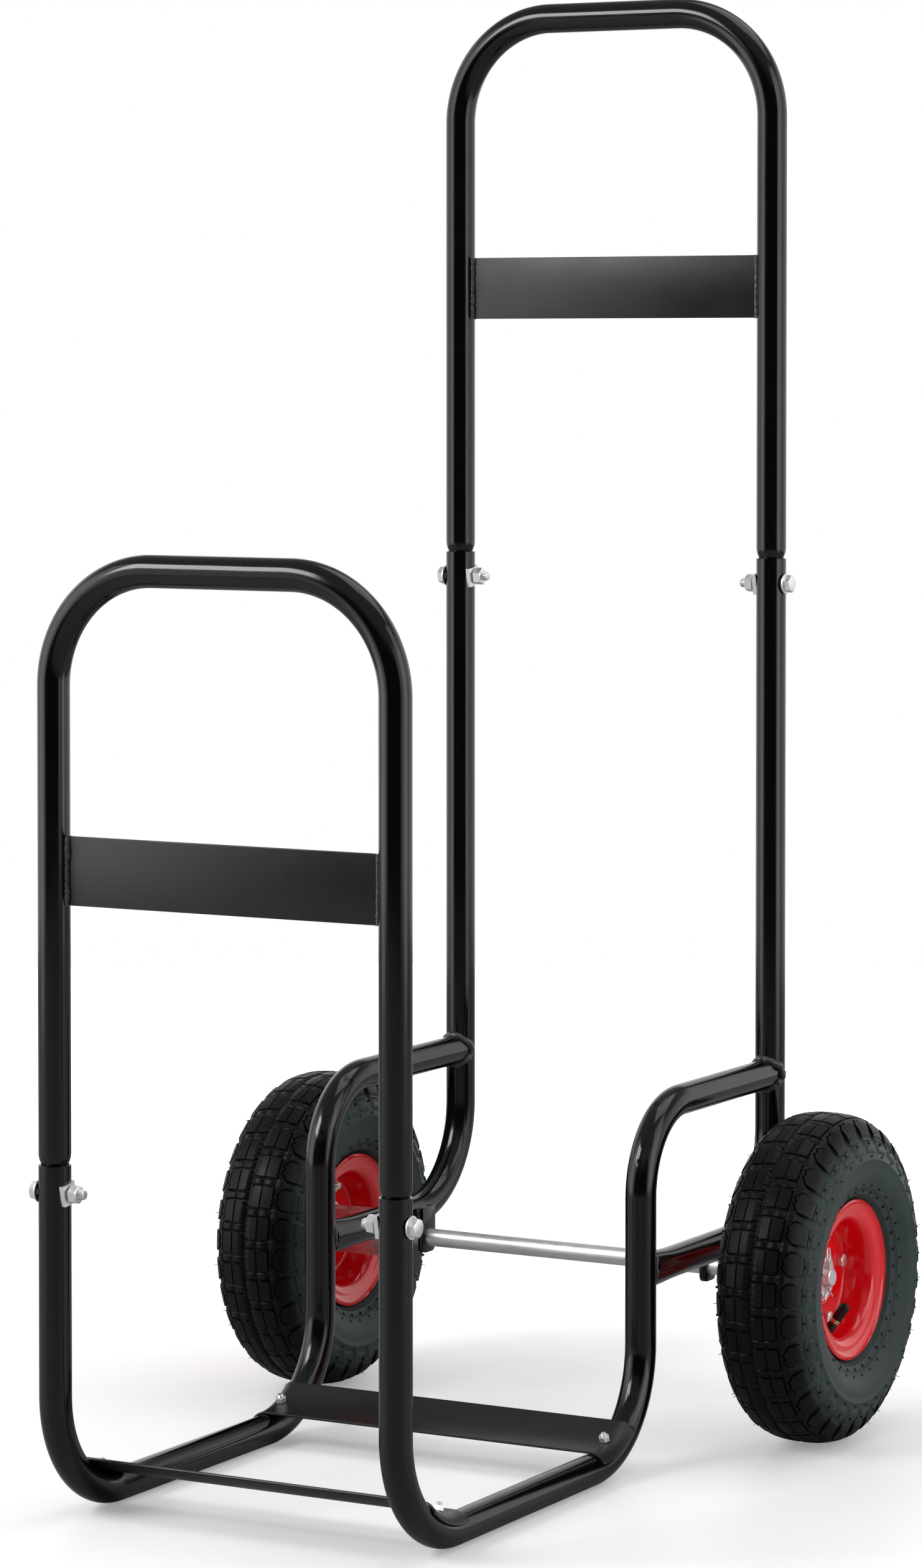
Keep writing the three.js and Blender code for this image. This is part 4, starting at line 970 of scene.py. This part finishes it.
def tread_pitch():
    """One pitch of the tyre's skin, from bead to bead, about X, with the right lug at the top."""
    form = bmesh.new()
    columns = []
    for across in [*[-s for s in reversed(SPOTS)], *SPOTS[1:]]:
        turn = across / PITCH * 2 * math.pi / PITCHES
        opposite = (across + PITCH) % PITCH - PITCH / 2
        right, left = tread_line(across), tread_line(opposite)
        column = []
        for row, line in ((-1, list(reversed(left[1:]))), (1, right)):
            for length, depth in line:
                r, x, up, out = wall_at(length)
                radius, along = (r - up * depth) / 1000, row * (x - out * depth) / 1000
                column.append(form.verts.new((along, -radius * math.sin(turn), radius * math.cos(turn))))
        inside = [(0.0535, 0.0145), (0.078, 0.0310), (0.105, 0.0360), (0.1250, 0.0150)]
        for r, x in [*inside, *[(r, -x) for r, x in reversed(inside)]]:
            column.append(form.verts.new((x, -r * math.sin(turn), r * math.cos(turn))))
        columns.append(column)
    for first, second in zip(columns, columns[1:]):
        for i in range(len(first)):
            form.faces.new((first[i - 1], first[i], second[i], second[i - 1]))
    return mesh_of(form, "tread_pitch")


ring_tree, given = shape_tree("ring_of_pitches", Count="Int", Finish="Material")
in_place = {"Count": given["Count"], "Offset": (0.0, 0.0, 0.0)}
spots = node(ring_tree, "GeometryNodeMeshLine", in_place).outputs[0]
index = node(ring_tree, "GeometryNodeInputIndex").outputs[0]
angle = sum_of(ring_tree, "MULTIPLY", index, sum_of(ring_tree, "DIVIDE", 2 * math.pi, given["Count"]))
turn = node(ring_tree, "ShaderNodeCombineXYZ", {"X": angle}).outputs[0]
rotation = node(ring_tree, "FunctionNodeEulerToRotation", {0: turn}).outputs[0]
copied = {"Points": spots, "Instance": given["Geometry"], "Rotation": rotation}
copies = node(ring_tree, "GeometryNodeInstanceOnPoints", copied).outputs[0]
whole = node(ring_tree, "GeometryNodeRealizeInstances", {"Geometry": copies}).outputs[0]
seams = {"Geometry": whole, "Distance": 0.00002}
joined = node(ring_tree, "GeometryNodeMergeByDistance", seams).outputs[0]
close_tree(ring_tree, joined, given["Finish"])

# rubber: black on the tread, greyer green on the sidewall, with a dull bloom in patches
rubber, moulded, skin = material("tyre_rubber")
spot = node(moulded, "ShaderNodeTexCoord").outputs["Object"]
split = node(moulded, "ShaderNodeSeparateXYZ", {0: spot})
depth = sum_of(moulded, "SUBTRACT", split.outputs["Y"], AXLE.y)
rise = sum_of(moulded, "SUBTRACT", split.outputs["Z"], AXLE.z)
flat = node(moulded, "ShaderNodeCombineXYZ", {"X": depth, "Y": rise}).outputs[0]
radius = node(moulded, "ShaderNodeVectorMath", {0: flat}, operation="LENGTH").outputs["Value"]
sidewall = soft_step(moulded, radius, 0.123, 0.108)
bloom = node(moulded, "ShaderNodeTexNoise", {"Vector": spot, "Scale": 28.0, "Detail": 6.0, "Roughness": 0.6})
speckle = node(moulded, "ShaderNodeTexNoise", {"Vector": spot, "Scale": 1400.0, "Detail": 2.0})
black = blend_colour(moulded, bloom.outputs["Fac"], (0.0016, 0.0016, 0.0016, 1), (0.0065, 0.0062, 0.0058, 1))
green = blend_colour(moulded, bloom.outputs["Fac"], (0.018, 0.032, 0.031, 1), (0.062, 0.084, 0.08, 1))
skin.inputs["Specular IOR Level"].default_value = 0.16
moulded.links.new(blend_colour(moulded, sidewall, black, green), skin.inputs["Base Color"])
moulded.links.new(spread(moulded, bloom.outputs["Fac"], 0.32, 0.5), skin.inputs["Roughness"])
grit = {"Height": speckle.outputs["Fac"], "Distance": 0.00004, "Strength": 0.6}
moulded.links.new(node(moulded, "ShaderNodeBump", grit).outputs[0], skin.inputs["Normal"])

for side in ("left", "right"):
    tyre = grow(f"{side}_moulded_tyre", ring_tree, tread_pitch(), Count=PITCHES, Finish=rubber)
    crisp(tyre, 80)
    tyre.data.transform(TYRE_TURN)
    on_wheel(side, tyre.data)
    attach(tyre, f"{side}_wheel")
    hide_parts(f"{side}_tyre")

# the mould's vents leave small pips in rings on the sidewall and a few whiskers on the lugs; the pips take
# black rubber, darker than the greenish sidewall, as painted shade
black_rubber_and_pip_shade, trim, satin = material("black_rubber")
place = node(trim, "ShaderNodeTexCoord").outputs["Object"]
bits = node(trim, "ShaderNodeTexNoise", {"Vector": place, "Scale": 500.0}).outputs["Fac"]
trim.links.new(spread(trim, bits, 0.32, 0.5), satin.inputs["Roughness"])
satin.inputs["Base Color"].default_value = (0.002, 0.0022, 0.0025, 1)


def vent_marks(marks):
    """Small stumps on the sidewall, (distance from the crown, place, radius, height), for one pitch."""
    form = bmesh.new()
    for row in (-1, 1):
        for length, across, size, high in marks:
            r, x, up, out = wall_at(length)
            way = Vector((row * out, 0, up))
            turn = Matrix.Rotation(across / PITCH * 2 * math.pi / PITCHES, 4, "X")
            spot = Matrix.Translation(Vector((row * x, 0, r)) / 1000)
            place = turn @ spot @ way.to_track_quat("Z", "Y").to_matrix().to_4x4()
            sizes = {"radius1": size / 1000, "radius2": size / 1500, "depth": high / 500}
            bmesh.ops.create_cone(form, segments=8, matrix=place, cap_ends=True, **sizes)
    return mesh_of(form, "vent_marks")


for side in ("left", "right"):
    pips = [(49.0, 0.0, 1.3, 1.1), (59.8, 0.6, 1.3, 0.9), (84.5, 5.0, 1.5, 0.8), (90.5, -6.0, 1.7, 0.9)]
    whiskers = [(30.5, -3.0, 0.3, 2.4), (40.5, 5.0, 0.35, 3.0)]
    for name, marks, count in (("pips", pips, PITCHES), ("whiskers", whiskers, 17)):
        # pips and whiskers take the black rubber; on the greenish sidewall the black pips are painted shade
        ring = grow(f"{side}_tyre_{name}", ring_tree, vent_marks(marks), Count=count, Finish=black_rubber_and_pip_shade)
        crisp(ring, 50)
        ring.data.transform(TYRE_TURN)
        on_wheel(side, ring.data)
        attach(ring, f"{side}_wheel")

# ---------- inner tube and valve ----------
# The butyl inner tube fills the tyre. Its rubber valve stem comes through the outer dish and
# leans outwards; a brass collar shows between the stem and the ribbed black cap.
VALVE_FOOT = Vector((0.007, -0.007, 0.002 - 0.0506))
VALVE_WAY = Vector((18, 7, 28.5)).normalized()


def along_valve(mesh):
    """From +X at the origin to the valve's own line."""
    mesh.transform(VALVE_WAY.to_track_quat("X", "Z").to_matrix().to_4x4())
    mesh.transform(Matrix.Translation(VALVE_FOOT))
    return mesh


brass, alloy, worn = material("brass")
place = node(alloy, "ShaderNodeTexCoord").outputs["Object"]
streaks = node(alloy, "ShaderNodeTexNoise", {"Vector": place, "Scale": 900.0}).outputs["Fac"]
alloy.links.new(spread(alloy, streaks, 0.22, 0.38), worn.inputs["Roughness"])
worn.inputs["Base Color"].default_value = (0.72, 0.52, 0.24, 1)
worn.inputs["Metallic"].default_value = 1.0

tube_outline = [
    (0.0535, 0.0), (0.0535, 0.0140), (0.0620, 0.0220), (0.0800, 0.0300), (0.1000, 0.0340),
    (0.1150, 0.0280), (0.1220, 0.0140), (0.1230, 0.0),
]
mirrored = [(r, -x) for r, x in reversed(tube_outline[1:-1])]
tube_outline = eased([*tube_outline, *mirrored, tube_outline[0]])[:-1]
stem_outline = [(0, -0.006), (0.0048, -0.006), (0.0046, 0.002), (0.0040, 0.005)]
stem_outline += [(0.0040, 0.0150), (0.0036, 0.0158), (0, 0.0158)]
core_outline = [(0, 0.0150), (0.0038, 0.0150), (0.0040, 0.0156), (0.0040, 0.0180)]
core_outline += [(0.0037, 0.0185), (0.0026, 0.0185), (0.0026, 0.031), (0, 0.031)]


def ribbed_cap():
    """Moulded cap with fine grip ribs and a domed end."""
    outline = [(0, 0.0188), (0.0040, 0.0188), (0.0043, 0.0192), (0.0043, 0.0300)]
    outline += [(0.0041, 0.0318), (0.0033, 0.0334), (0.0016, 0.0340), (0, 0.0340)]
    mesh = spun("cap", outline, 96, closed=False)
    for vertex in mesh.vertices:
        reach = math.hypot(vertex.co.y, vertex.co.z)
        if reach > 0.0041 and vertex.co.x > 0.0191:
            ribs = 1 - 0.05 * (0.5 + 0.5 * math.cos(24 * math.atan2(vertex.co.z, vertex.co.y)))
            vertex.co.y *= ribs
            vertex.co.z *= ribs
    mesh.materials.append(black_rubber_and_pip_shade)
    return mesh


for side in ("left", "right"):
    body = spun("inner_tube", tube_outline, 96, finish=black_rubber_and_pip_shade)
    stem = along_valve(spun("stem", stem_outline, 40, closed=False))
    parts = [(body, Matrix.Identity(4)), (stem, Matrix.Identity(4))]
    filled = assembled(f"{side}_tube_and_stem", parts, black_rubber_and_pip_shade)
    on_wheel(side, filled.data)
    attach(filled, f"{side}_wheel")
    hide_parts(f"{side}_inner_tube")
    core = along_valve(spun("core", core_outline, 40, closed=False, finish=brass))
    wheel_piece(side, "valve_core", core, slot="zinc")
    wheel_piece(side, "ribbed_valve_cap", along_valve(ribbed_cap()), "valve_cap", slot="black_rubber")
